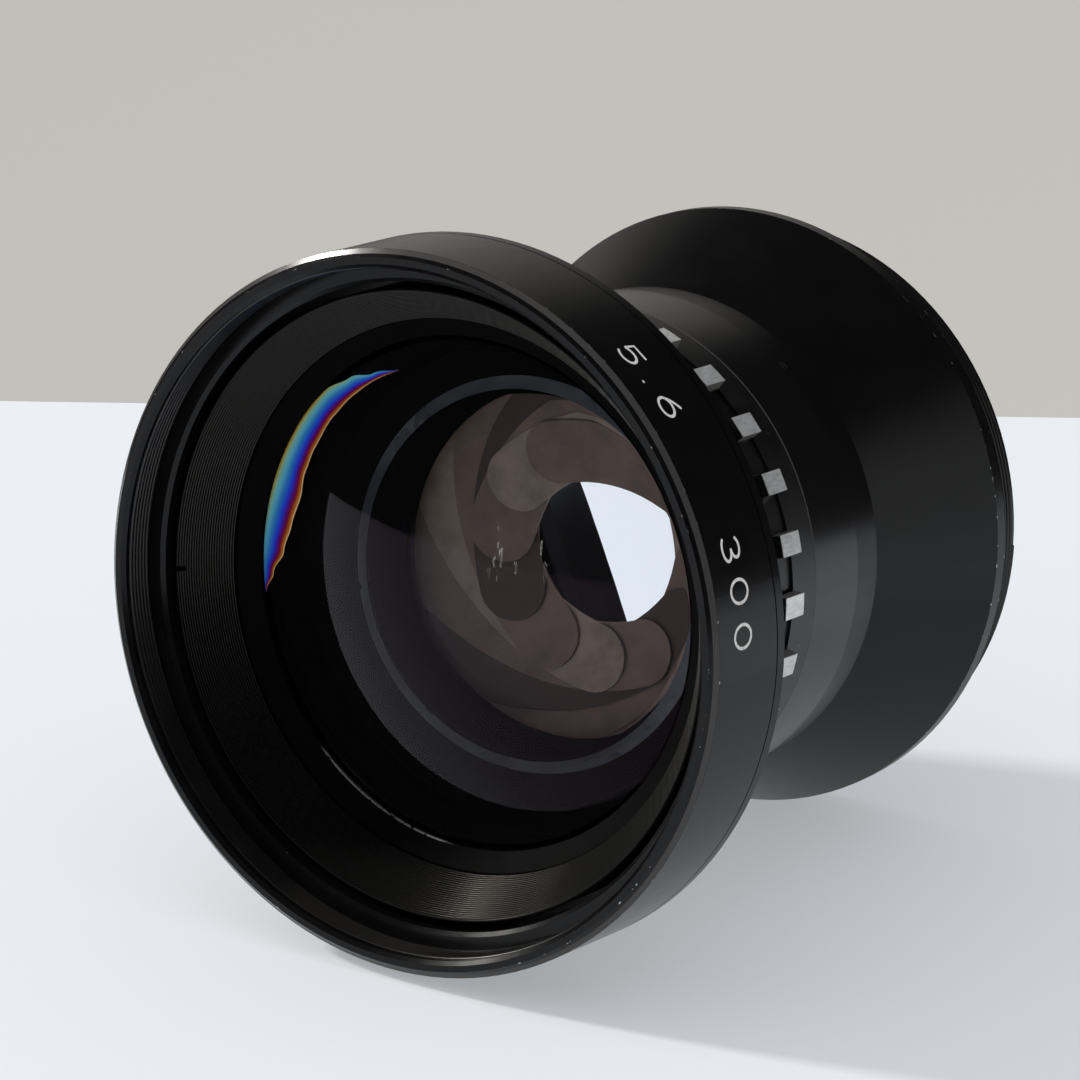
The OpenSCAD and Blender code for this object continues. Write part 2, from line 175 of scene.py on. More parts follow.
def lens_coordinates() -> bpy.types.NodeTree:
    """Builds the node group that gives a material its place on the lens.

    Returns:
        A group with the outputs Place (across, station, up in mm), Radius, Turn, Station and
        Profile (radius, station).
    """
    name = "Lens coordinates"
    if name in bpy.data.node_groups:
        return bpy.data.node_groups[name]
    tree = bpy.data.node_groups.new(name, "ShaderNodeTree")
    outputs = {"Place": "Vector", "Radius": "Float", "Turn": "Float", "Station": "Float", "Profile": "Vector"}
    for label, kind in outputs.items():
        tree.interface.new_socket(label, in_out="OUTPUT", socket_type=f"NodeSocket{kind}")
    out = node(tree, "NodeGroupOutput")
    dip = math.radians(AXIS.dip_deg)
    c, s = math.cos(dip), math.sin(dip)
    shift = (0, -AXIS.start * c + AXIS.lift * s, -AXIS.start * s - AXIS.lift * c)
    place = node(tree, "ShaderNodeMapping", {
        "Vector": node(tree, "ShaderNodeTexCoord").outputs["Object"],
        "Location": shift, "Rotation": (dip, 0, 0), "Scale": (1000, 1000, 1000)})
    parts = node(tree, "ShaderNodeSeparateXYZ", {0: place.outputs[0]})
    flat = node(tree, "ShaderNodeCombineXYZ", {0: parts.outputs[0], 1: parts.outputs[2]})
    radius = node(tree, "ShaderNodeVectorMath", {0: flat.outputs[0]}, operation="LENGTH").outputs["Value"]
    turn = node(tree, "ShaderNodeMath", {0: parts.outputs[2], 1: parts.outputs[0]}, operation="ARCTAN2")
    degrees = node(tree, "ShaderNodeMath", {0: turn.outputs[0]}, operation="DEGREES")
    profile = node(tree, "ShaderNodeCombineXYZ", {0: radius, 1: parts.outputs[1]})
    sockets = (place.outputs[0], radius, degrees.outputs[0], parts.outputs[1], profile.outputs[0])
    for label, socket in zip(outputs, sockets):
        tree.links.new(socket, out.inputs[label])
    return tree


class NodeBench:
    """A node tree under construction, with short ways to add what every tree here needs."""

    def __init__(self, tree: bpy.types.NodeTree) -> None:
        """Clears the tree."""
        self.tree = tree
        self.tree.nodes.clear()

    def add(self, kind: str, inputs: dict | None = None, **settings: object) -> bpy.types.Node:
        """Adds one node to this tree."""
        return node(self.tree, kind, inputs, **settings)

    def math(self, operation: str, *values: Value) -> Socket:
        """One Math node's result."""
        return self.add("ShaderNodeMath", dict(enumerate(values)), operation=operation).outputs[0]

    def line(self, value: Value, low: float, high: float) -> Socket:
        """A straight rise of value from 0 at low to 1 at high."""
        return self.add("ShaderNodeMapRange", {"Value": value, "From Min": low, "From Max": high}).outputs[0]

    def ramp(self, value: Value, low: float, high: float, to_low: float = 0.0, to_high: float = 1.0) -> Socket:
        """A smooth step of value between low and high."""
        given = {"Value": value, "From Min": low, "From Max": high, "To Min": to_low, "To Max": to_high}
        return self.add("ShaderNodeMapRange", given, interpolation_type="SMOOTHSTEP").outputs[0]

    def blend(self, factor: Value, first: Tone, second: Tone) -> Socket:
        """A colour between two colours, which are given as sockets or as plain colours."""
        return self.add("ShaderNodeMix", {0: factor, 6: first, 7: second}, data_type="RGBA").outputs[2]


class Shading(NodeBench):
    """A material under construction, with the lens's coordinates at hand."""

    def __init__(self, name: str) -> None:
        """Opens an empty node material of this name."""
        self.material = bpy.data.materials.new(name)
        self.material.use_nodes = True
        super().__init__(self.material.node_tree)
        self.out = self.add("ShaderNodeOutputMaterial")
        self.lens = self.add("ShaderNodeGroup")
        self.lens.node_tree = lens_coordinates()
        self.radius, self.station = self.lens.outputs["Radius"], self.lens.outputs["Station"]

    def noise(self, period: float, detail: float = 3.0, stretch: Triple = (1, 1, 1), seed: float = 0.0) -> Socket:
        """Noise over the lens.

        Args:
            period: Width of its grain in mm.
            detail: Octaves of finer grain.
            stretch: How much finer the grain is across, along and up the lens.
            seed: Moves the pattern.

        Returns:
            The noise's socket, round 0.5.
        """
        mapped = self.add("ShaderNodeMapping", {
            "Vector": self.lens.outputs["Place"], "Location": (seed, seed, seed), "Scale": stretch})
        given = {"Vector": mapped.outputs[0], "Scale": 1 / period, "Detail": detail, "Roughness": 0.6}
        return self.add("ShaderNodeTexNoise", given).outputs["Fac"]

    def palette(self, value: Value, stops: Sequence[tuple[float, str]]) -> Socket:
        """Picks a colour from a row of stops.

        Args:
            value: What picks the colour, from 0 to 1.
            stops: Each stop's place and its sRGB colour.

        Returns:
            The colour's socket.
        """
        made = self.add("ShaderNodeValToRGB", {0: value})
        ramp = made.color_ramp
        while len(ramp.elements) < len(stops):
            ramp.elements.new(0.5)
        for element, (at, tone) in zip(ramp.elements, stops):
            element.position, element.color = at, colour(tone)
        return made.outputs[0]

    def rings(self, edges: Iterable[tuple[float, float]], width: float) -> Socket:
        """Marks turned edges.

        Args:
            edges: Radius and station of each edge in mm.
            width: How far from an edge the mark reaches, in mm.

        Returns:
            A mask's socket, 1 on the edges.
        """
        nearest = None
        for radius, station in edges:
            given = {0: self.lens.outputs["Profile"], 1: (radius, station, 0)}
            far = self.add("ShaderNodeVectorMath", given, operation="DISTANCE").outputs["Value"]
            nearest = far if nearest is None else self.math("MINIMUM", nearest, far)
        return self.ramp(nearest, width, width * 0.35)

    def specks(self, cell: float, size: float, share: float, seed: float = 0.0) -> Socket:
        """Scatters specks.

        Args:
            cell: Distance between places that may hold a speck, in mm.
            size: Radius of the largest specks, in mm.
            share: Share of the places that hold one.
            seed: Moves the pattern.

        Returns:
            A mask's socket, 1 inside the specks.
        """
        mapped = self.add("ShaderNodeMapping", {
            "Vector": self.lens.outputs["Place"], "Location": (seed, seed * 1.7, seed * 0.6)})
        cells = self.add("ShaderNodeTexVoronoi", {"Vector": mapped.outputs[0], "Scale": 1 / cell})
        pick = self.add("ShaderNodeSeparateColor", {0: cells.outputs["Color"]})
        chosen = self.math("LESS_THAN", pick.outputs[0], share)
        reach = self.math("MULTIPLY", pick.outputs[1], size / cell)
        inside = self.math("LESS_THAN", cells.outputs["Distance"], reach)
        return self.math("MULTIPLY", chosen, inside)

    def turned_marks(self, period: float, depth: float, strength: float, normal: Socket | None = None) -> Socket:
        """The fine rings that a lathe leaves. The real feed is near 0.1 mm, too fine to show,
        so they are drawn as coarse as they need to be.

        Args:
            period: Distance between rings in mm.
            depth: Their depth in mm.
            strength: How much of them shows.
            normal: The normal that they disturb, where it isn't the surface's own.

        Returns:
            The disturbed normal's socket.
        """
        grain = self.add("ShaderNodeTexNoise", {
            "Vector": self.lens.outputs["Profile"], "Scale": 1 / period, "Detail": 2.0}).outputs["Fac"]
        given = {"Height": grain, "Distance": depth / 1000, "Strength": strength}
        if normal is not None:
            given["Normal"] = normal
        return self.add("ShaderNodeBump", given).outputs[0]

    def finish(self, shader: bpy.types.Node) -> bpy.types.Material:
        """Closes the material on a shader node."""
        self.tree.links.new(shader.outputs[0], self.out.inputs["Surface"])
        return self.material


# -------------------------------------------------------------------- finishes


@dataclass(frozen=True)
class SatinAnodising:
    """Black satin anodised aluminium: turned, bead-dulled and dyed, so it gives broad soft
    highlights, faint lathe rings, bare bright metal where edges have rubbed, and dust.
    Lengths are in mm along the lens's radius and station, and turns in degrees."""

    name: str
    black: str = "#0b0b0c"
    haze: str = "#131211"
    roughness: float = 0.27
    gloss: float = 0.5
    dust: float = 0.05
    marks: float = 0.35
    worn_edges: tuple[tuple[float, float], ...] = ()
    worn_width: float = 0.22
    wear: float = 0.6
    # Where given, the bare pale metal keeps to this arc of turns, in degrees.
    bare_turns: tuple[float, float] | None = None
    bevel: Triple | None = None
    bevel_depth: float = 0.18
    seams: tuple[float, ...] = ()
    seam_half: float = 0.12
    # Distance of the painted highlight lines from each seam's middle, in mm.
    seam_highlight_offset: float = 0.22

    def material(self) -> bpy.types.Material:
        """Builds the material.

        Returns:
            The finished material.
        """
        s = Shading(self.name)
        base = s.blend(s.ramp(s.noise(9, 4), 0.35, 0.75, 0, 0.6), colour(self.black), colour(self.haze))
        rough = s.add("ShaderNodeMapRange", {
            "Value": s.noise(2.5, 5, seed=3), "From Min": 0.3, "From Max": 0.7,
            "To Min": self.roughness - 0.015, "To Max": self.roughness + 0.025}).outputs[0]
        dust = s.specks(3.2, 0.16, self.dust, seed=5)
        base = s.blend(dust, base, colour("#8d8a84"))
        metal: Value = 0.0
        if self.worn_edges:
            metal = self._rubbed(s)
            base = s.blend(metal, base, colour("#b9b7b2"))
        slanted = None
        if self.bevel:
            slanted, face = self._bevel(s)
            base = s.blend(s.math("MULTIPLY", face, 0.18), base, colour("#98948f"))
            metal = s.math("MAXIMUM", metal, s.math("MULTIPLY", face, 0.10))
        # Each seam gets a dark joint line and a painted highlight line a little to each side of it.
        for seam in self.seams:
            off = s.math("ABSOLUTE", s.math("SUBTRACT", s.station, seam))
            base = s.blend(s.ramp(off, self.seam_half + 0.04, self.seam_half - 0.04), base, colour("#030303"))
            highlight_off = s.math("ABSOLUTE", s.math("SUBTRACT", off, self.seam_highlight_offset))
            base = s.blend(s.ramp(highlight_off, 0.10, 0.03, 0, 0.8), base, colour("#5d5b59"))
        rough = s.math("ADD", rough, s.math("MULTIPLY", dust, 0.4))
        return s.finish(s.add("ShaderNodeBsdfPrincipled", {
            "Base Color": base, "Metallic": metal, "Roughness": rough, "Specular IOR Level": self.gloss,
            "Normal": s.turned_marks(self.marks, 0.012, 0.12, slanted)}))

    def _rubbed(self, s: Shading) -> Socket:
        """Where the dye has rubbed off the edges.

        Args:
            s: The material under construction.

        Returns:
            A mask's socket, 1 on bare metal.
        """
        patchy = s.ramp(s.noise(1.1, 4, seed=9), 0.62 - 0.25 * self.wear, 0.70 - 0.2 * self.wear)
        bare = s.math("MULTIPLY", s.rings(self.worn_edges, self.worn_width), patchy)
        if self.bare_turns:
            turn, (low, high) = s.lens.outputs["Turn"], self.bare_turns
            within = s.math("MULTIPLY", s.ramp(turn, low - 4, low + 4), s.ramp(turn, high + 4, high - 4))
            bare = s.math("MULTIPLY", bare, within)
        return bare

    def _bevel(self, s: Shading) -> tuple[Socket, Socket]:
        """A narrow bevel at the ring's front corner, from one radius to the next.

        Args:
            s: The material under construction.

        Returns:
            The slanted normal and the bevel's mask.
        """
        inner, outer, station = self.bevel
        slanted = s.add("ShaderNodeBump", {
            "Height": s.line(s.radius, inner, outer), "Distance": self.bevel_depth / 1000, "Strength": 1.0}).outputs[0]
        ahead = s.ramp(s.station, station, station - 0.06)
        return slanted, s.math("MULTIPLY", s.ramp(s.radius, inner - 0.05, inner + 0.05), ahead)


@dataclass(frozen=True)
class RibbedAnodising:
    """Black anodised cone cut into fine ribs that trap light. Each rib's crest is a little
    rounded by the tool, so it draws one thin line of light, and the grooves stay black."""

    ribs: int = 22
    front: float = 6.3
    length: float = 7.5
    first_radius: float = 47.6
    slope: float = -0.6667
    crest_width: float = 0.11
    crest_height: float = 0.05
    cone_edge: float = 47.9

    def material(self) -> bpy.types.Material:
        """Builds the material.

        Returns:
            The finished material.
        """
        s = Shading("ribbed baffle anodising")
        pitch = self.length / self.ribs
        back = self.front + self.length
        along = s.math("DIVIDE", s.math("SUBTRACT", s.station, self.front), pitch)
        number = s.math("FLOOR", s.math("ADD", along, 0.38))
        crest_station = s.math("MULTIPLY_ADD", number, pitch, self.front)
        crest_radius = s.math("MULTIPLY_ADD", number, pitch * self.slope, self.first_radius)
        off = s.add("ShaderNodeCombineXYZ", {
            0: s.math("SUBTRACT", s.station, crest_station), 1: s.math("SUBTRACT", s.radius, crest_radius)})
        far = s.add("ShaderNodeVectorMath", {0: off.outputs[0]}, operation="LENGTH").outputs["Value"]
        crest = s.ramp(far, self.crest_width, 0.01)
        rounded = s.add("ShaderNodeBump", {
            "Height": crest, "Distance": self.crest_height / 1000, "Strength": 1.0}, invert=True).outputs[0]
        cone = s.math("MULTIPLY", s.ramp(s.station, self.front - 0.05, self.front),
                      s.ramp(s.station, back + 0.05, back))
        cone = s.math("MULTIPLY", cone, s.ramp(s.radius, self.cone_edge + 0.1, self.cone_edge))
        groove = s.add("ShaderNodeBsdfPrincipled", {
            "Base Color": colour("#030303"), "Roughness": 0.5, "Specular IOR Level": 0.15})
        rubbed = s.add("ShaderNodeBsdfPrincipled", {
            "Base Color": colour("#3f3d39"), "Metallic": 0.9, "Roughness": 0.24, "Normal": rounded})
        cut = s.add("ShaderNodeMixShader", {0: crest, 1: groove.outputs[0], 2: rubbed.outputs[0]})
        plain = s.add("ShaderNodeBsdfPrincipled", {
            "Base Color": colour("#060606"), "Roughness": 0.35, "Specular IOR Level": 0.2,
            "Normal": s.turned_marks(0.4, 0.01, 0.2)})
        return s.finish(s.add("ShaderNodeMixShader", {0: cone, 1: plain.outputs[0], 2: cut.outputs[0]}))


@dataclass(frozen=True)
class MattLacquer:
    """Flat black lacquer inside the cells, which swallows nearly all light and shows only a
    little grey dust."""

    name: str

    def material(self) -> bpy.types.Material:
        """Builds the material.

        Returns:
            The finished material.
        """
        s = Shading(self.name)
        base = s.blend(s.ramp(s.noise(1.5, 5), 0.4, 0.8), colour("#040404"), colour("#090808"))
        base = s.blend(s.specks(5, 0.12, 0.05, seed=2), base, colour("#4d4b48"))
        return s.finish(s.add("ShaderNodeBsdfPrincipled", {
            "Base Color": base, "Roughness": 0.75, "Specular IOR Level": 0.06,
            "Normal": s.turned_marks(0.8, 0.01, 0.08)}))


@dataclass(frozen=True)
class CoggedRingFinish:
    """Black anodised ring whose cogs' tops were turned bare after dyeing: satin aluminium
    faces between black sides, with a rubbed strip of specks in front of them."""

    cog_radius: float = 41.4
    flank_radius: float = 39.6
    cog_front: float = 40.0
    strip: tuple[float, float] = (38.0, 40.1)

    def material(self) -> bpy.types.Material:
        """Builds the material.

        Returns:
            The finished material.
        """
        s = Shading("black ring with bare cogs")
        bare = s.ramp(s.radius, self.cog_radius - 0.16, self.cog_radius - 0.10)
        streaks = s.noise(0.5, 3, stretch=(1, 0.25, 1), seed=4)
        aluminium = s.blend(s.ramp(streaks, 0.3, 0.7), colour("#cfcfca"), colour("#e9e8e3"))
        front, back = self.strip
        strip = s.math("MULTIPLY", s.ramp(s.station, front - 0.4, front + 0.4),
                       s.ramp(s.station, back + 0.3, back - 0.3))
        flecks = s.math("MULTIPLY", strip, s.ramp(s.noise(0.35, 2, seed=7), 0.66, 0.70))
        flecks = s.math("MAXIMUM", flecks, s.specks(0.9, 0.13, 0.10, seed=8))
        black = s.blend(s.ramp(s.noise(5, 4), 0.35, 0.75), colour("#0d0d0e"), colour("#1a1918"))
        black = s.blend(flecks, black, colour("#6f6c68"))
        outside = s.ramp(s.radius, self.flank_radius - 0.1, self.flank_radius + 0.1)
        flank = s.math("MULTIPLY", outside, s.ramp(s.station, self.cog_front - 0.05, self.cog_front + 0.05))
        black = s.blend(flank, black, colour("#66645f"))
        rough = s.ramp(bare, 0, 1, 0.36, 0.30)
        rough = s.math("ADD", rough, s.math("MULTIPLY", s.math("SUBTRACT", streaks, 0.5), 0.1))
        return s.finish(s.add("ShaderNodeBsdfPrincipled", {
            "Base Color": s.blend(bare, black, aluminium), "Metallic": s.math("MULTIPLY", bare, 0.5),
            "Roughness": rough, "Normal": s.turned_marks(0.3, 0.01, 0.3)}))


@dataclass(frozen=True)
class CoatedGlass:
    """Polished optical glass with an evaporated coating: it takes most of the mirror image
    away and leaves what remains violet. Shadow rays and the fill light pass it, so that both
    reach the iris behind it. A face may carry a little settled dust and a few hairlines."""

    name: str
    index: float = 1.6
    bloom: str = "#4e3946"
    dust: float = 0.0
    scratched: Triple | None = None
    scratched_station: float = 14.0

    def material(self) -> bpy.types.Material:
        """Builds the material.

        Returns:
            The finished material.
        """
        s = Shading(self.name)
        surface = s.add("ShaderNodeBsdfPrincipled", {
            "Base Color": colour("#fcfdff"), "Roughness": 0.0, "IOR": self.index, "Transmission Weight": 1.0,
            "Specular Tint": colour(self.bloom)})
        if self.dust:
            mask = s.specks(2.6, 0.11, self.dust, seed=11)
            if self.scratched:
                mask = s.math("MAXIMUM", mask, self._scratches(s))
            grit = s.add("ShaderNodeBsdfDiffuse", {"Color": colour("#cfccc6")})
            surface = s.add("ShaderNodeMixShader", {0: mask, 1: surface.outputs[0], 2: grit.outputs[0]})
        paths = s.add("ShaderNodeLightPath")
        lamp = s.math("MAXIMUM", paths.outputs["Is Shadow Ray"], paths.outputs["Is Diffuse Ray"])
        clear = s.add("ShaderNodeBsdfTransparent", {"Color": (0.93, 0.93, 0.93, 1)})
        return s.finish(s.add("ShaderNodeMixShader", {0: lamp, 1: surface.outputs[0], 2: clear.outputs[0]}))

    def _scratches(self, s: Shading) -> Socket:
        """Short hairlines round one place, given across and up the lens with a reach, in mm.

        Args:
            s: The material under construction.

        Returns:
            A mask's socket, 0.6 inside the hairlines.
        """
        x, up, reach = self.scratched
        given = {0: s.lens.outputs["Place"], 1: (x, self.scratched_station, up)}
        far = s.add("ShaderNodeVectorMath", given, operation="DISTANCE").outputs["Value"]
        streak = s.noise(0.9, 2, stretch=(1.0, 0.2, 0.16), seed=21)
        hair = s.math("MULTIPLY", s.ramp(streak, 0.640, 0.655), s.ramp(streak, 0.685, 0.670))
        return s.math("MULTIPLY", s.math("MULTIPLY", hair, s.ramp(far, reach, reach * 0.6)), 0.6)


@dataclass(frozen=True)
class GroundBevel:
    """The fine-ground bevel round an element's edge: grey frosted glass over black paint,
    which lights up as a pale ring where the table or the window falls on it."""

    def material(self) -> bpy.types.Material:
        """Builds the material.

        Returns:
            The finished material.
        """
        s = Shading("ground glass bevel")
        base = s.blend(s.ramp(s.noise(9, 2, seed=6), 0.35, 0.7), colour("#54575b"), colour("#6a6d71"))
        return s.finish(s.add("ShaderNodeBsdfPrincipled", {
            "Base Color": base, "Metallic": 0.4, "Roughness": s.ramp(s.noise(6, 2), 0.3, 0.7, 0.26, 0.32)}))


class PaintedBladeReflection(Enum):
    """Painted reflection on a blade: one colour per blade, lighter or darker, standing for the part of the room that
    its slant throws back.
    """

    DEEP = "#5f4d45"
    MIDDLE = "#9a8174"
    PALE = "#b9a292"


@dataclass(frozen=True)
class BladeSteel:
    """Blackened spring steel, rolled thin and slightly glossy, with faint rub marks. Its brown-black is
    painted much lighter, as painted light falling on it through the glass, with a painted reflection that differs from
    blade to blade."""

    # The painted reflection and painted light that this blade shows.
    tone: PaintedBladeReflection

    def material(self) -> bpy.types.Material:
        """Builds the material.

        Returns:
            The finished material.
        """
        s = Shading(f"blade steel with painted reflection, {self.tone.name.lower()}")
        base = s.blend(s.ramp(s.noise(4, 4, seed=1), 0.3, 0.8, 0, 0.5), colour(self.tone.value), colour("#5c4c45"))
        return s.finish(s.add("ShaderNodeBsdfPrincipled", {
            "Base Color": base, "Metallic": 0.35, "Roughness": s.ramp(s.noise(3, 4, seed=2), 0.3, 0.7, 0.30, 0.42)}))


@dataclass(frozen=True)
class PaintedCementFlare:
    """A painted rainbow reflection at the glass's edge, coloured as a film of cement that has let go,
    about a light wave thick, would throw back: blue where it is thickest and red, then straw,
    towards its shallow edge. The colours are the base colour of a matt sheet."""

    stops: tuple[tuple[float, str], ...] = (
        (0.0, "#ffe0a8"), (0.05, "#c9782c"), (0.16, "#8a1620"), (0.27, "#5a1c96"), (0.38, "#2b46ee"),
        (0.55, "#3a8ee0"), (0.72, "#6fd2e8"), (0.84, "#9ed6b4"), (0.93, "#dcc052"), (1.0, "#b04c12"))

    def material(self) -> bpy.types.Material:
        """Builds the material.

        Returns:
            The finished material.
        """
        s = Shading("painted cement flare")
        gap = s.add("ShaderNodeAttribute", attribute_name="gap").outputs["Fac"]
        return s.finish(s.add("ShaderNodeBsdfPrincipled", {
            "Base Color": s.palette(gap, self.stops), "Roughness": 0.5, "Specular IOR Level": 0.0}))


@dataclass(frozen=True)
class PlainMetal:
    """A turned metal left bare, dulled by handling, with fine lathe rings."""

    name: str
    tone: str
    dull: str
    roughness: float = 0.35

    def material(self) -> bpy.types.Material:
        """Builds the material.

        Returns:
            The finished material.
        """
        s = Shading(self.name)
        base = s.blend(s.ramp(s.noise(2, 5), 0.3, 0.75), colour(self.tone), colour(self.dull))
        rough = s.ramp(s.noise(0.8, 3, seed=3), 0.3, 0.7, self.roughness - 0.06, self.roughness + 0.08)
        return s.finish(s.add("ShaderNodeBsdfPrincipled", {
            "Base Color": base, "Metallic": 1.0, "Roughness": rough, "Normal": s.turned_marks(0.3, 0.008, 0.3)}))


@dataclass(frozen=True)
class EngravingPaint:
    """White enamel wiped into engraved lines: matt, slightly yellowed, thin in places."""

    def material(self) -> bpy.types.Material:
        """Builds the material.

        Returns:
            The finished material.
        """
        s = Shading("white engraving enamel")
        base = s.blend(s.ramp(s.noise(0.5, 4), 0.35, 0.75), colour("#f4f1ea"), colour("#d8d4ca"))
        return s.finish(s.add("ShaderNodeBsdfPrincipled", {"Base Color": base, "Roughness": 0.6}))


@dataclass(frozen=True)
class PaintedTableTop:
    """A board sprayed near white, satin and a little cloudy. A share of what the eye, mirrors
    and glass see of it is its plain colour, so that it stays pale without more light on the
    lens and still keeps the lens's shadow."""

    shown_share: float = 0.38
    glass_share: float = 0.8
    ahead: tuple[float, float] = (0.03, -0.02)

    def material(self) -> bpy.types.Material:
        """Builds the material.

        Returns:
            The finished material.
        """
        s = Shading("painted table top")
        place = s.add("ShaderNodeTexCoord").outputs["Object"]
        # The spray gun leaves clouds about 11 cm wide.
        cloud = s.add("ShaderNodeTexNoise", {"Vector": place, "Scale": 9.0, "Detail": 4.0}).outputs["Fac"]
        paint = s.add("ShaderNodeBsdfPrincipled", {
            "Base Color": s.blend(cloud, colour("#edf0f4"), colour("#f3f6f9")), "Roughness": 0.6,
            "Specular IOR Level": 0.25})
        paths = s.add("ShaderNodeLightPath").outputs
        # The inner faces of the glass throw back the table in front of the lens and would veil
        # the iris with it, so that part is dim for rays that come through glass.
        ahead = s.line(s.add("ShaderNodeSeparateXYZ", {0: place}).outputs[1], *self.ahead)
        veil = s.math("MULTIPLY", paths["Is Transmission Ray"], ahead)
        plain = s.add("ShaderNodeEmission", {
            "Color": s.blend(veil, colour("#f2f5f8"), colour("#2a2a2c")), "Strength": 1.0})
        seen = s.math("MAXIMUM", paths["Is Camera Ray"], paths["Is Glossy Ray"])
        share = s.math("MAXIMUM", s.math("MULTIPLY", seen, self.shown_share),
                       s.math("MULTIPLY", paths["Is Transmission Ray"], self.glass_share))
        return s.finish(s.add("ShaderNodeMixShader", {0: share, 1: paint.outputs[0], 2: plain.outputs[0]}))


@dataclass(frozen=True)
class GreyRoom:
    """The world: a warm grey plastered wall for the eye, a dim room with a pale wall beside
    it for mirrors, and an even fill. Directions point from the lens."""

    wall_way: Triple = (-0.52, 0.83, 0.20)
    glow_way: Triple = (0.96, 0.26, 0.08)

    def build(self) -> None:
        """Makes the world and sets it as the scene's."""
        world = bpy.data.worlds.new("studio")
        bpy.context.scene.world = world
        world.use_nodes = True
        b = NodeBench(world.node_tree)
        way = b.add("ShaderNodeTexCoord").outputs["Generated"]
        paths = b.add("ShaderNodeLightPath").outputs
        across, back, up = b.add("ShaderNodeSeparateXYZ", {0: way}).outputs
        mirrored = b.blend(self._towards(b, way, self.glow_way, 0.80), colour("#2a2929"), colour("#d6d8da"))
        mirrored = b.blend(self._towards(b, way, self.wall_way, 0.86), mirrored, colour("#a9a7a2"))
        around = b.blend(paths["Is Diffuse Ray"], mirrored, colour("#aaacb2"))
        shade = b.math("MULTIPLY_ADD", up, 1.2, b.math("MULTIPLY_ADD", across, -0.6, -0.25))
        wall = b.blend(b.line(shade, -0.35, 0.15), colour("#c4c3be"), colour("#bab8b4"))
        through = b.math("MULTIPLY", paths["Is Transmission Ray"], b.line(back, 0.15, 0.30))
        shown = b.blend(b.math("MAXIMUM", paths["Is Camera Ray"], through), around, wall)
        light = b.add("ShaderNodeBackground", {"Color": shown, "Strength": 1.0})
        b.add("ShaderNodeOutputWorld", {"Surface": light.outputs[0]})

    @staticmethod
    def _towards(b: NodeBench, way: Socket, aim: Triple, spread: float) -> Socket:
        """How near a direction lies to an aim, rising from 0 where their product is spread."""
        facing = b.add("ShaderNodeVectorMath", {0: way, 1: aim}, operation="DOT_PRODUCT").outputs["Value"]
        return b.ramp(facing, spread, 1.0)


# ------------------------------------------------------------------ mesh tools


def piece_from(name: str, mesh: bpy.types.Mesh, materials: Sequence[bpy.types.Material]) -> bpy.types.Object:
    """Makes a finished mesh a piece of the lens's body.

    Args:
        name: The piece's name.
        mesh: Its mesh, in place in the frame.
        materials: Its finishes, in the order of its faces' indices.

    Returns:
        The new object.
    """
    kept = [polygon.material_index for polygon in mesh.polygons]
    mesh.materials.clear()
    for material in materials:
        mesh.materials.append(material)
    mesh.polygons.foreach_set("material_index", kept if len(materials) > 1 else [0] * len(kept))
    made = bpy.data.objects.new(name, mesh)
    bpy.context.scene.collection.objects.link(made)
    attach(made, BODY)
    log.info("piece %s: %d faces on %s", name, len(mesh.polygons), BODY)
    return made


def mesh_from(bm: bmesh.types.BMesh, name: str, sharp_deg: float | None = None) -> bpy.types.Mesh:
    """Turns a finished BMesh into a mesh.

    Args:
        bm: The BMesh, which is freed.
        name: The mesh's name.
        sharp_deg: Where given, the mesh is smooth with sharp edges past this angle.

    Returns:
        The mesh.
    """
    mesh = bpy.data.meshes.new(name)
    bm.to_mesh(mesh)
    bm.free()
    if sharp_deg is not None:
        mesh.shade_smooth()
        mesh.set_sharp_from_angle(angle=math.radians(sharp_deg))
    return mesh


def revolved(name: str, profile: Sequence[tuple[float, float]], finishes: Sequence[int],
             segments: int = 192) -> bpy.types.Mesh:
    """Turns an outline of (radius, station) that starts and ends on the optical axis round it.

    Args:
        name: The mesh's name.
        profile: The outline's corners.
        finishes: Material index of each step of the outline.
        segments: Steps round the axis.

    Returns:
        A smooth closed mesh in the frame.
    """
    bm = bmesh.new()
    rows: list[list[bmesh.types.BMVert]] = []
    for radius, station in profile:
        if radius < 1e-6:
            rows.append([bm.verts.new(AXIS.point(0, 0, station))])
        else:
            rows.append([bm.verts.new(AXIS.on_ring(radius, 360 * k / segments, station)) for k in range(segments)])
    for step, (a, b) in enumerate(zip(rows, rows[1:])):
        for k in range(segments):
            j = (k + 1) % segments
            corners = dict.fromkeys([a[k % len(a)], a[j % len(a)], b[j % len(b)], b[k % len(b)]])
            bm.faces.new(list(corners)).material_index = finishes[step]
    bmesh.ops.recalc_face_normals(bm, faces=bm.faces)
    return mesh_from(bm, name, sharp_deg=30)


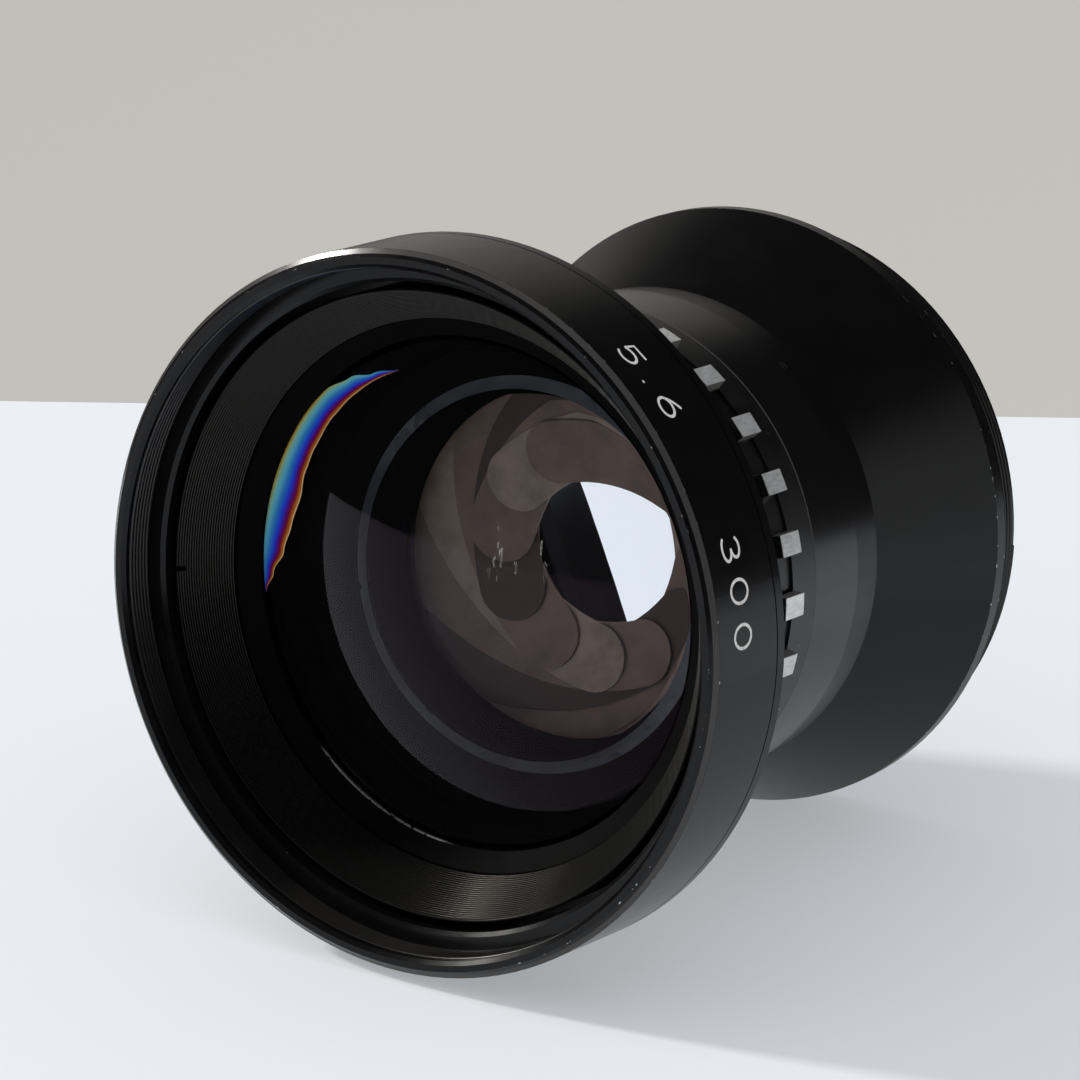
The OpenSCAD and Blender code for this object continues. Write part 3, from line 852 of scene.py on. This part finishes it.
def in_place(name: str, build: Callable[[bpy.types.NodeTree], Socket], settings: dict[str, float],
             material: bpy.types.Material) -> bpy.types.Mesh:
    """Runs a Geometry Nodes tree and keeps its result as a plain mesh in the frame.

    Args:
        name: Name of the tree and of the mesh.
        build: Fills the tree, given with its named inputs in place, and returns its geometry.
        settings: Value of each named input, by name.
        material: What the tree's Set Material node gives.

    Returns:
        The finished mesh, carried from lens mm to the frame.
    """
    tree = bpy.data.node_groups.new(name, "GeometryNodeTree")
    tree.interface.new_socket("Geometry", in_out="OUTPUT", socket_type="NodeSocketGeometry")
    for label in settings:
        tree.interface.new_socket(label, in_out="INPUT", socket_type="NodeSocketFloat")
    real = node(tree, "GeometryNodeRealizeInstances", {0: build(tree)})
    dressed = node(tree, "GeometryNodeSetMaterial", {"Geometry": real.outputs[0], "Material": material})
    node(tree, "NodeGroupOutput", {0: dressed.outputs[0]})
    holder = bpy.data.objects.new(name + " maker", bpy.data.meshes.new(name + " maker"))
    bpy.context.scene.collection.objects.link(holder)
    modifier = holder.modifiers.new("maker", "NODES")
    modifier.node_group = tree
    for item in tree.interface.items_tree:
        if item.item_type == "SOCKET" and item.in_out == "INPUT":
            modifier[item.identifier] = settings[item.name]
    holder.update_tag()
    evaluated = holder.evaluated_get(bpy.context.evaluated_depsgraph_get())
    mesh = bpy.data.meshes.new_from_object(evaluated)
    mesh.name = name
    holder.modifiers.clear()
    bpy.data.objects.remove(holder)
    mesh.transform(AXIS.matrix())
    return mesh


@dataclass(frozen=True)
class ThreadTurns:
    """The turns of a screw thread, swept along a spiral as a four-sided ridge. Sizes in mm."""

    name: str
    radius: float
    pitch: float
    turns: float
    depth: float
    front: float
    steps_per_turn: int = 180

    def build(self, finish: SatinAnodising) -> None:
        """Makes the thread a piece of its own.

        Args:
            finish: The anodising of its turns.
        """
        material = finish.material()
        mesh = in_place(self.name, self._fill, {
            "Radius": self.radius, "Pitch": self.pitch, "Turns": self.turns, "Depth": self.depth,
            "Front": self.front}, material)
        piece_from(self.name, mesh, [material])

    def _fill(self, tree: bpy.types.NodeTree) -> Socket:
        """Fills a tree with the spiral and its ridge.

        Args:
            tree: A tree with the inputs Radius, Pitch, Turns, Depth and Front (the front
                station, with the lens's front towards +Z).

        Returns:
            The swept ridge's socket.
        """
        given = node(tree, "NodeGroupInput").outputs
        length = node(tree, "ShaderNodeMath", {0: given["Pitch"], 1: given["Turns"]}, operation="MULTIPLY").outputs[0]
        spiral = node(tree, "GeometryNodeCurveSpiral", {
            "Resolution": self.steps_per_turn, "Rotations": given["Turns"], "Start Radius": given["Radius"],
            "End Radius": given["Radius"], "Height": length})
        upright = node(tree, "GeometryNodeSetCurveNormal", {0: spiral.outputs[0]}, mode="Z_UP")
        ridge = node(tree, "GeometryNodeCurvePrimitiveCircle", {"Resolution": 4, "Radius": given["Depth"]})
        swept = node(tree, "GeometryNodeCurveToMesh", {
            "Curve": upright.outputs[0], "Profile Curve": ridge.outputs[0], "Fill Caps": True})
        lowest = node(tree, "ShaderNodeMath", {0: given["Front"], 1: length}, operation="ADD").outputs[0]
        down = node(tree, "ShaderNodeMath", {0: lowest, 1: -1.0}, operation="MULTIPLY").outputs[0]
        offset = node(tree, "ShaderNodeCombineXYZ", {2: down}).outputs[0]
        return node(tree, "GeometryNodeTransform", {"Geometry": swept.outputs[0], "Translation": offset}).outputs[0]


def dress(names: Iterable[str], material: bpy.types.Material) -> None:
    """Gives CAD nodes their finish.

    Args:
        names: The nodes' names.
        material: Their finish.
    """
    for name in names:
        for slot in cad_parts[name].material_slots:
            slot.material = material
        log.info("node %s: %s", name, material.name)


# ---------------------------------------------------------------------- camera


@dataclass
class PhotoCamera:
    """The camera of the photograph, set by the image points: a long lens from the front
    right, a little above, with no shift. Places are in metres."""

    place: Triple = (0.456162, -0.679882, 0.332171)
    aim: Triple = (-0.0077025, -0.0037251, 0.0537868)
    roll_deg: float = -0.1416
    lens_mm: float = 186.01
    sensor_mm: float = 36.0
    shift: tuple[float, float] = (0.0, 0.0)
    nearest: float = 0.6
    depth: float = 0.4
    data: bpy.types.Object = field(init=False)

    def build(self) -> None:
        """Makes the camera and sets it as the scene's."""
        cam = bpy.data.cameras.new("photo camera")
        cam.lens, cam.sensor_width, cam.sensor_fit = self.lens_mm, self.sensor_mm, "AUTO"
        cam.shift_x, cam.shift_y = self.shift
        cam.clip_start, cam.clip_end = 0.01, 50
        self.data = bpy.data.objects.new("photo camera", cam)
        bpy.context.scene.collection.objects.link(self.data)
        look = (Vector(self.aim) - Vector(self.place)).to_track_quat("-Z", "Y").to_matrix().to_4x4()
        roll = Matrix.Rotation(math.radians(self.roll_deg), 4, "Z")
        self.data.matrix_world = Matrix.Translation(self.place) @ look @ roll
        bpy.context.scene.camera = self.data
        bpy.context.view_layer.update()
        log.info("camera: %.1f mm from %s", self.lens_mm, self.place)

    def ray(self, x: float, y: float) -> tuple[Vector, Vector]:
        """The ray through an image point.

        Args:
            x: The point's column in the photograph's pixels.
            y: Its row.

        Returns:
            The ray's start and direction in the frame.
        """
        long_side = max(W, H)
        aim = Vector((x - W / 2 + self.shift[0] * long_side, H / 2 - y + self.shift[1] * long_side,
                      -long_side * self.lens_mm / self.sensor_mm))
        world = self.data.matrix_world
        return world.translation.copy(), (world.to_3x3() @ aim).normalized()

    def seen(self, place: Vector) -> tuple[float, float]:
        """Where a place shows.

        Args:
            place: The place in the frame.

        Returns:
            Its column and row in the photograph's pixels.
        """
        local = self.data.matrix_world.inverted() @ place
        long_side = max(W, H)
        scale = long_side * self.lens_mm / self.sensor_mm / -local.z
        return (W / 2 + local.x * scale - self.shift[0] * long_side,
                H / 2 - local.y * scale + self.shift[1] * long_side)

    def placed(self, x: float, y: float, tree: BVHTree) -> Vector:
        """Finds where an image point lies on a surface.

        Args:
            x: The point's column in the photograph's pixels.
            y: Its row.
            tree: The surface that carries the piece, as finished and placed.

        Returns:
            The place in the frame, or the place nearest the ray where the ray misses.
        """
        start, way = self.ray(x, y)
        hit = tree.ray_cast(start, way)[0]
        if hit is not None:
            return hit
        steps = 400
        near = [tree.find_nearest(start + way * (self.nearest + self.depth * k / steps)) for k in range(steps)]
        return min(near, key=lambda found: found[3])[0]


def surface_of(name: str) -> BVHTree:
    """The search tree of a CAD node's mesh."""
    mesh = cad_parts[name].data
    return BVHTree.FromPolygons([v.co[:] for v in mesh.vertices], [p.vertices[:] for p in mesh.polygons])


# -------------------------------------------------------------- sub-assemblies


def arc(cx: float, cy: float, rx: float, ry: float, start: float, end: float, steps: int) -> list[tuple[float, float]]:
    """Points of an elliptical arc between two angles in degrees."""
    turns = [math.radians(start + (end - start) * k / steps) for k in range(steps + 1)]
    return [(cx + rx * math.cos(a), cy + ry * math.sin(a)) for a in turns]


class Digit(Enum):
    """Plain round-pen digits on a field 0.8 wide and 1 high, centred on the origin."""

    ZERO = "0"
    THREE = "3"
    FIVE = "5"
    SIX = "6"
    POINT = "."

    def strokes(self) -> list[list[tuple[float, float]]]:
        """The pen's paths.

        Returns:
            One row of points for each stroke.
        """
        return {
            Digit.ZERO: [arc(0, 0, 0.40, 0.5, 0, 360, 36)],
            Digit.THREE: [arc(-0.02, 0.25, 0.34, 0.25, 150, -90, 16) + arc(-0.02, -0.25, 0.40, 0.25, 90, -150, 18)],
            Digit.FIVE: [[(0.32, 0.5), (-0.28, 0.5), (-0.34, 0.04)] + arc(-0.02, -0.18, 0.38, 0.32, 140, -140, 20)],
            Digit.SIX: [[(0.18, 0.5), (-0.02, 0.36), (-0.22, 0.16)] + arc(0, -0.18, 0.38, 0.32, 150, 510, 32)],
            Digit.POINT: [[(0, -0.47), (0.01, -0.47)]],
        }[self]


@dataclass
class FrontRing:
    """The front ring: filter thread inside, a narrow bevel, and plain painted numbers for
    the widest opening and the focal length. Sizes in mm."""

    camera: PhotoCamera
    radius: float = 55.0
    bevel: Triple = (54.3, 55.0, 0.0)
    worn_edges: tuple[tuple[float, float], ...] = ((53.8, -1.2), (55.0, 0.0))
    thread: ThreadTurns = ThreadTurns(
        "filter_thread_turns", radius=52.25, pitch=0.76, turns=6.0, depth=0.42, front=0.15)
    digit_height: float = 4.3
    digit_width: float = 4.3
    pen: float = 0.48
    paint: float = 0.012
    written: dict[str, Vector] = field(default_factory=dict)

    def build(self) -> None:
        """Dresses the ring and adds its thread and numbers."""
        dress(["front_ring"], SatinAnodising(
            "front ring anodising", roughness=0.20, gloss=0.23, dust=0.03, bevel=self.bevel,
            worn_edges=self.worn_edges, wear=0.02, worn_width=0.14).material())
        self.thread.build(SatinAnodising(
            "thread anodising", black="#141312", haze="#211e1b", roughness=0.30, dust=0.0))
        self._numbers()

    def _numbers(self) -> None:
        """Writes each digit where its image point meets the ring's outside."""
        carrier = surface_of("front_ring")
        digits = {"digit_5": Digit.FIVE, "digit_6": Digit.SIX, "digit_3": Digit.THREE,
                  "digit_0_first": Digit.ZERO, "digit_0_second": Digit.ZERO}
        bm = bmesh.new()
        spots = {}
        for name, digit in digits.items():
            spots[name] = turn, station = AXIS.read(self.camera.placed(*IMAGE_POINTS[name], carrier))[1:]
            self._write(bm, digit, turn, station)
            self.written[name] = AXIS.on_ring(self.radius + self.paint, turn, station)
        middle = (Vector(spots["digit_5"]) + Vector(spots["digit_6"])) / 2
        self._write(bm, Digit.POINT, *middle)
        piece_from("painted_numbers", mesh_from(bm, "painted_numbers"), [EngravingPaint().material()])

    def _write(self, bm: bmesh.types.BMesh, digit: Digit, turn: float, station: float) -> None:
        """Lays one digit's strokes on the ring, reading downwards with its top to the rear.

        Args:
            bm: The mesh that takes the strokes.
            digit: The digit.
            turn: Turn of its middle in degrees.
            station: Station of its middle in mm.
        """
        def spot(across: float, along: float) -> bmesh.types.BMVert:
            """A vertex of the lettering: across runs down the ring, along runs to the rear."""
            down = math.degrees(across / self.radius)
            return bm.verts.new(AXIS.on_ring(self.radius + self.paint, turn - down, station + along))

        half, round_steps = self.pen / 2, 12
        for stroke in digit.strokes():
            path = [(px * self.digit_width, py * self.digit_height) for px, py in stroke]
            left, right = [], []
            for k, (px, py) in enumerate(path):
                (ax, ay), (bx, by) = path[max(k - 1, 0)], path[min(k + 1, len(path) - 1)]
                length = math.hypot(bx - ax, by - ay)
                nx, ny = -(by - ay) / length * half, (bx - ax) / length * half
                left.append(spot(px + nx, py + ny))
                right.append(spot(px - nx, py - ny))
            for k in range(len(path) - 1):
                bm.faces.new((right[k], right[k + 1], left[k + 1], left[k]))
            for px, py in (path[0], path[-1]):
                turns = [2 * math.pi * k / round_steps for k in range(round_steps)]
                bm.faces.new([spot(px + half * math.cos(a), py + half * math.sin(a)) for a in turns])


@dataclass(frozen=True)
class Dome:
    """A polished spherical surface: its radius of curvature, positive where it bulges to the
    front, the station of its middle, and the radius of its edge, in mm."""

    curve: float
    vertex: float
    edge: float
    steps: int = 40

    def station(self, radius: float) -> float:
        """The surface's station at a radius."""
        sag = abs(self.curve) - math.sqrt(self.curve * self.curve - radius * radius)
        return self.vertex + math.copysign(1, self.curve) * sag

    def profile(self) -> list[tuple[float, float]]:
        """The surface's outline, from the axis to its edge."""
        return [(r, self.station(r)) for r in (self.edge * k / self.steps for k in range(self.steps + 1))]


@dataclass
class GlassBlock:
    """One block of glass, single or cemented, with two polished faces and a blacked rim,
    whose front edge may have a ground bevel."""

    name: str
    stands_for: tuple[str, ...]
    front: Dome
    back: Dome
    rim: tuple[tuple[float, float], ...]
    front_face: CoatedGlass
    back_face: CoatedGlass
    bevelled: bool = False

    def build(self) -> None:
        """Turns the block and puts it in place of its CAD nodes."""
        front, back = self.front.profile(), self.back.profile()[::-1]
        finishes = [0] * (len(front) - 1) + [1] * (len(self.rim) + 1) + [2] * (len(back) - 1)
        materials = [self.front_face.material(), MattLacquer(self.name + " edge blacking").material(),
                     self.back_face.material()]
        if self.bevelled:
            finishes[len(front) - 1] = len(materials)
            materials.append(GroundBevel().material())
        mesh = revolved(self.name, front + list(self.rim) + back, finishes)
        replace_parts(piece_from(self.name, mesh, materials), *self.stands_for)


@dataclass
class CementFlareSheet:
    """A thin closed shell just under the front face, whose painted colours stand for a rainbow reflection at the
    glass's edge.
    """

    face: Dome
    # Turn in degrees, outer and inner radius in mm along the sliver.
    edges: tuple[Triple, ...] = (
        (114, 35.5, 35.4), (122, 36.5, 35.4), (129.5, 38.0, 35.2), (138, 39.3, 34.8), (148, 39.65, 34.0),
        (155, 39.65, 33.4), (162.5, 39.65, 32.3), (171, 39.65, 32.8), (179, 39.65, 34.0), (185.5, 39.65, 36.8),
        (190, 39.65, 39.2))
    depths: tuple[float, float] = (0.30, 0.32)
    steps: int = 96
    across: int = 14

    def build(self) -> None:
        """Makes the shell's two sides and its rim, with each vertex's share across the painted flare."""
        bm = bmesh.new()
        layer = bm.verts.layers.float.new("gap")
        sides = [self._side(bm, layer, depth) for depth in self.depths]
        for grid in sides:
            for k in range(self.steps):
                for j in range(self.across):
                    bm.faces.new((grid[k][j], grid[k + 1][j], grid[k + 1][j + 1], grid[k][j + 1]))
        # Each side's rim, once round: inner edge, last row, outer edge back, first row back.
        rims = [[row[0] for row in grid] + grid[-1][1:] + [row[-1] for row in grid[-2::-1]] + grid[0][-2:0:-1]
                for grid in sides]
        for k in range(len(rims[0])):
            j = (k + 1) % len(rims[0])
            bm.faces.new((rims[0][k], rims[0][j], rims[1][j], rims[1][k]))
        bmesh.ops.recalc_face_normals(bm, faces=bm.faces)
        mesh = mesh_from(bm, "painted_cement_flare", sharp_deg=40)
        piece_from("painted_cement_flare", mesh, [PaintedCementFlare().material()])

    def _side(self, bm: bmesh.types.BMesh, layer: bmesh.types.BMLayerItem,
              depth: float) -> list[list[bmesh.types.BMVert]]:
        """Lays one side of the shell.

        Args:
            bm: The mesh that takes the vertices.
            layer: Where each vertex keeps its share across the painted flare, from 0 to 1.
            depth: How far behind the front face the side lies, in mm.

        Returns:
            The side's vertices, in rows from the inner to the outer edge.
        """
        grid = []
        for k in range(self.steps + 1):
            turn, outer, inner = self._edge(k / self.steps)
            reach = 0.5 + 0.5 * max(math.sin(math.pi * k / self.steps), 0.0) ** 0.7
            row = []
            for j in range(self.across + 1):
                share = j / self.across
                radius = inner + (outer - inner) * share
                vert = bm.verts.new(AXIS.on_ring(radius, turn, self.face.station(radius) + depth))
                vert[layer] = share * reach
                row.append(vert)
            grid.append(row)
        return grid

    def _edge(self, along: float) -> Triple:
        """Finds the sliver's edges.

        Args:
            along: Share of the sliver's length.

        Returns:
            The turn there in degrees, and the outer and inner radius in mm.
        """
        turn = self.edges[0][0] + (self.edges[-1][0] - self.edges[0][0]) * along
        for low, high in zip(self.edges, self.edges[1:]):
            if turn <= high[0] + 1e-9:
                share = (turn - low[0]) / (high[0] - low[0])
                share = share * share * (3 - 2 * share)
                return turn, low[1] + (high[1] - low[1]) * share, low[2] + (high[2] - low[2]) * share
        return self.edges[-1]


@dataclass
class Glasses:
    """The six elements in four blocks, as the lens shows them: two cemented pairs outside
    and two single elements beside the iris. A shell under the front pair's face carries a painted rainbow reflection
    on one side."""

    front_face: Dome = Dome(95, 8.9, 40)
    front_back: Dome = Dome(210, 14.6, 38.4)
    inner_front: Dome = Dome(38, 20.8, 26.4)
    inner_back: Dome = Dome(44, 25.6, 26.4)
    rear_inner_front: Dome = Dome(-100, 57.0, 28.2)
    rear_inner_back: Dome = Dome(-62, 61.6, 29.8)
    rear_front: Dome = Dome(-140, 62.8, 31)
    rear_face: Dome = Dome(-64, 78.6, 34)
    scratched: Triple = (12.0, 10.0, 8.0)

    def build(self) -> None:
        """Builds every block, from front to rear."""
        outer = CoatedGlass("front coated glass", dust=0.05, scratched=self.scratched)
        inner = CoatedGlass("inner coated glass", bloom="#7e737a")
        bloomed = CoatedGlass("bloomed glass", bloom="#2c282e")
        for block in (
            GlassBlock("front_doublet_glass", ("front_outer_element", "front_cemented_element"), self.front_face,
                       self.front_back, ((40.0, 20.0), (39.0, 20.0)), outer, bloomed),
            GlassBlock("front_inner_glass", ("front_inner_element",), self.inner_front, self.inner_back,
                       ((28.2, 32.1), (33.0, 30.9), (33.0, 36.2), (28.2, 36.2)), inner, bloomed, bevelled=True),
            GlassBlock("rear_inner_glass", ("rear_inner_element",), self.rear_inner_front, self.rear_inner_back,
                       ((30.0, 53.5),), bloomed, bloomed),
            GlassBlock("rear_doublet_glass", ("rear_cemented_element", "rear_outer_element"), self.rear_front,
                       self.rear_face, ((34.0, 61.0),), bloomed, outer),
        ):
            block.build()
        CementFlareSheet(self.front_face).build()


@dataclass
class FrontCell:
    """The baffle ring's ribbed cone with its spanner slots, the ring that keeps the glass, with
    bare pale metal along an arc of its inner edge, and the cell's own cone. Sizes in mm and degrees."""

    ring_edge: tuple[float, float] = (39.5, 16.75)
    bare_arc_turns: tuple[float, float] = (-129, -95)
    slot: Triple = (47.5, 183.5, 6.5)

    def build(self) -> None:
        """Dresses the front cell's nodes."""
        dress(["baffle_ring"], RibbedAnodising().material())
        dress(["front_cell"], MattLacquer("front cell black").material())
        dress(["front_retaining_ring"], SatinAnodising(
            "glass ring anodising", black="#060606", haze="#0a0909", roughness=0.6, gloss=0.03, dust=0.02,
            worn_edges=(self.ring_edge,), worn_width=0.3, wear=1.0, bare_turns=self.bare_arc_turns).material())
        dress(["front_spacer"], MattLacquer("front cell lacquer").material())

    def spots(self) -> dict[str, Vector]:
        """The places that have an image point."""
        return {"slot_left": AXIS.on_ring(*self.slot)}


@dataclass
class BarrelAndIris:
    """The barrel, its cogged aperture ring, and the iris behind the front glass. Sizes in mm
    and degrees."""

    blades: int = 12
    cogs: int = 27
    cog: Triple = (41.4, 1.4, 42.4)
    cog_points: tuple[tuple[str, int], ...] = (("cog_upper", 4), ("cog_middle", 2), ("cog_lower", 26))
    seams: tuple[float, float] = (51.62, 64.3)
    front_seam: tuple[float, float] = (39.3, 51.7)

    def build(self) -> None:
        """Dresses the barrel, the ring and the iris."""
        dress(["main_barrel"], SatinAnodising("barrel anodising", roughness=0.22, seams=self.seams).material())
        dress(["aperture_ring"], CoggedRingFinish(cog_radius=self.cog[0]).material())
        screws = PlainMetal("plain screw steel", "#a3a4a6", "#6f6f70").material()
        dress(["aperture_ring_screw", "flange_grub_screws"], screws)
        dress(["iris_base_ring", "iris_keeper_ring"], MattLacquer("iris ring lacquer").material())
        dress(["iris_cam_ring"], PlainMetal("dull turned brass", "#b39a62", "#7d6a41", 0.4).material())
        # Painted reflections: the blades take these in turn, so each looks lit or shaded as if by its own slant.
        blade_reflections = (PaintedBladeReflection.MIDDLE, PaintedBladeReflection.PALE, PaintedBladeReflection.MIDDLE, PaintedBladeReflection.DEEP)
        finishes = [BladeSteel(tone).material() for tone in blade_reflections]
        for k in range(self.blades):
            dress([f"iris_blade_{k + 1:02d}"], finishes[k % len(finishes)])

    def spots(self) -> dict[str, Vector]:
        """The places that have an image point."""
        radius, first, station = self.cog
        return {name: AXIS.on_ring(radius, first + k * 360 / self.cogs, station) for name, k in self.cog_points}

    def circles(self) -> dict[str, tuple[float, float]]:
        """The circles, by radius and station, on which an image point lies."""
        return {"seam_front": self.front_seam}


@dataclass
class RearFlange:
    """The flared flange with its rubbed rim and mounting thread, and the rear cell. Sizes in
    mm and degrees."""

    thread: ThreadTurns = ThreadTurns(
        "mount_thread_turns", radius=45.2, pitch=0.9, turns=7.0, depth=0.40, front=95.2)
    rim_edges: tuple[tuple[float, float], ...] = ((48.4, 91.2), (48.4, 93.4))
    band_radius: float = 38.8
    band: tuple[float, float] = (64.3, 70.5)
    grub_screw: Triple = (38.6, 54, 65.6)

    def build(self) -> None:
        """Dresses the flange and adds the mounting thread's turns."""
        dress(["rear_flange"], SatinAnodising(
            "flange anodising", roughness=0.25, gloss=0.3, dust=0.03, worn_edges=self.rim_edges, wear=0.12,
            worn_width=0.16, seams=self.band[:1]).material())
        self.thread.build(SatinAnodising(
            "mount thread anodising", black="#161514", haze="#24211e", roughness=0.28, dust=0.0))
        dress(["rear_cell"], SatinAnodising("rear cell anodising", roughness=0.4).material())
        dress(["rear_retaining_ring", "rear_spacer"], MattLacquer("rear cell lacquer").material())

    def spots(self) -> dict[str, Vector]:
        """The places that have an image point."""
        return {"grub_screw": AXIS.on_ring(*self.grub_screw)}

    def circles(self) -> dict[str, tuple[float, float]]:
        """The circles, by radius and station, on which an image point lies."""
        return {"seam_rear": (self.band_radius, self.band[0]), "flare_corner": (self.band_radius, self.band[1])}


# ---------------------------------------------------------------------- studio


@dataclass(frozen=True)
class SoftLamp:
    """A rectangular soft lamp, aimed at the lens. Where mirrored is off, polished surfaces
    don't throw it back: a ceiling stands for light from everywhere, which has no shape."""

    name: str
    place: Triple
    size: tuple[float, float]
    watts: float
    tone: str
    mirrored: bool
    aim: Triple = (0, 0, 0.05)

    def build(self) -> None:
        """Makes the lamp."""
        data = bpy.data.lights.new(self.name, "AREA")
        data.shape, data.size, data.size_y = "RECTANGLE", *self.size
        data.energy, data.color = self.watts, colour(self.tone)[:3]
        lamp = bpy.data.objects.new(self.name, data)
        lamp.visible_glossy, lamp.visible_transmission = self.mirrored, False
        bpy.context.scene.collection.objects.link(lamp)
        way = Vector(self.aim) - Vector(self.place)
        lamp.matrix_world = Matrix.Translation(self.place) @ way.to_track_quat("-Z", "Y").to_matrix().to_4x4()


@dataclass
class Studio:
    """A pale table against a warm grey wall, one soft window of light from the left and an
    even fill. The table's sizes are in metres, and its far edge's ends in image points."""

    camera: PhotoCamera
    far_edge: tuple[tuple[float, float], tuple[float, float]] = ((0.0, 401.0), (1080.0, 418.0))
    overhang: float = 1.6
    depth: float = 2.4
    thickness: float = 0.03
    lamps: tuple[SoftLamp, ...] = (
        SoftLamp("window light", (-6.90, -2.04, 4.70), (0.84, 0.84), 500.0, "#fffdf8", mirrored=True),
        SoftLamp("white ceiling", (0.1, -0.55, 1.60), (3.0, 3.0), 13.0, "#f4f7ff", mirrored=False))

    def build(self) -> None:
        """Makes the table, the wall, the lamps and the world."""
        bpy.context.scene.view_settings.view_transform = "Standard"
        self._table()
        GreyRoom().build()
        for lamp in self.lamps:
            lamp.build()

    def _table(self) -> None:
        """Lays the table, whose far edge runs as the photograph's does."""
        ends = []
        for x, y in self.far_edge:
            start, way = self.camera.ray(x, y)
            ends.append(start + way * (-start.z / way.z))
        along = (ends[1] - ends[0]).normalized()
        near = Vector((along.y, -along.x, 0))
        corners = [ends[0] - along * self.overhang, ends[1] + along * self.overhang]
        corners += [corners[1] + near * self.depth, corners[0] + near * self.depth]
        bm = bmesh.new()
        top = [bm.verts.new((c.x, c.y, 0)) for c in corners]
        low = [bm.verts.new((c.x, c.y, -self.thickness)) for c in corners]
        bm.faces.new(top[::-1])
        for k in range(4):
            bm.faces.new((top[k], top[(k + 1) % 4], low[(k + 1) % 4], low[k]))
        bmesh.ops.recalc_face_normals(bm, faces=bm.faces)
        mesh = mesh_from(bm, "table")
        mesh.materials.append(PaintedTableTop().material())
        table = bpy.data.objects.new("table", mesh)
        bpy.context.scene.collection.objects.link(table)
        table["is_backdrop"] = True


# --------------------------------------------------------------------- records


def visible_extremes(camera: PhotoCamera) -> dict[str, float]:
    """Finds the object's outline from its finished vertices.

    Args:
        camera: The photograph's camera.

    Returns:
        The outermost columns and rows in the photograph's pixels, by point name.
    """
    seen = [camera.seen(piece.matrix_world @ vertex.co)
            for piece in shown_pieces() if piece.type == "MESH" for vertex in piece.data.vertices]
    xs, ys = zip(*seen)
    return {"left_edge_x": min(xs), "right_edge_x": max(xs), "top_edge_y": min(ys), "bottom_edge_y": max(ys)}


def write_points(camera: PhotoCamera, spots: dict[str, Vector], circles: dict[str, tuple[float, float]]) -> None:
    """Args:
        camera: The photograph's camera.
        spots: Where things lie in the frame, by their point's name.
        circles: Radius and station of each circle that passes a point, by the point's name.
    """
    found = {name: camera.seen(place) for name, place in spots.items()}
    for name, (radius, station) in circles.items():
        wanted = Vector(IMAGE_POINTS[name])
        ring = [Vector(camera.seen(AXIS.on_ring(radius, turn / 4, station))) for turn in range(-240, 480)]
        found[name] = tuple(min(ring, key=lambda spot: (spot - wanted).length))
    offsets = {}
    for name, (x, y) in found.items():
        offsets[name] = [round(x - IMAGE_POINTS[name][0], 2), round(y - IMAGE_POINTS[name][1], 2)]
    for name, value in visible_extremes(camera).items():
        wanted = IMAGE_POINTS[name][0 if name.endswith("_x") else 1]
        offsets[name] = [round(value - wanted, 2), None] if name.endswith("_x") else [None, round(value - wanted, 2)]
    for name, offset in offsets.items():
        log.info("point %s: off by %s", name, offset)


def main() -> None:
    """Builds the lens's looks from front to rear, then the studio, and logs how far the image points fall off."""
    logging.basicConfig(level=logging.INFO, format="%(message)s")
    camera = PhotoCamera()
    camera.build()
    ring, cell, barrel, flange = FrontRing(camera), FrontCell(), BarrelAndIris(), RearFlange()
    for part in (ring, cell, Glasses(), barrel, flange, Studio(camera)):
        part.build()
    write_points(camera, barrel.spots() | cell.spots() | flange.spots() | ring.written,
                 barrel.circles() | flange.circles())


if __name__ == "__main__":
    main()
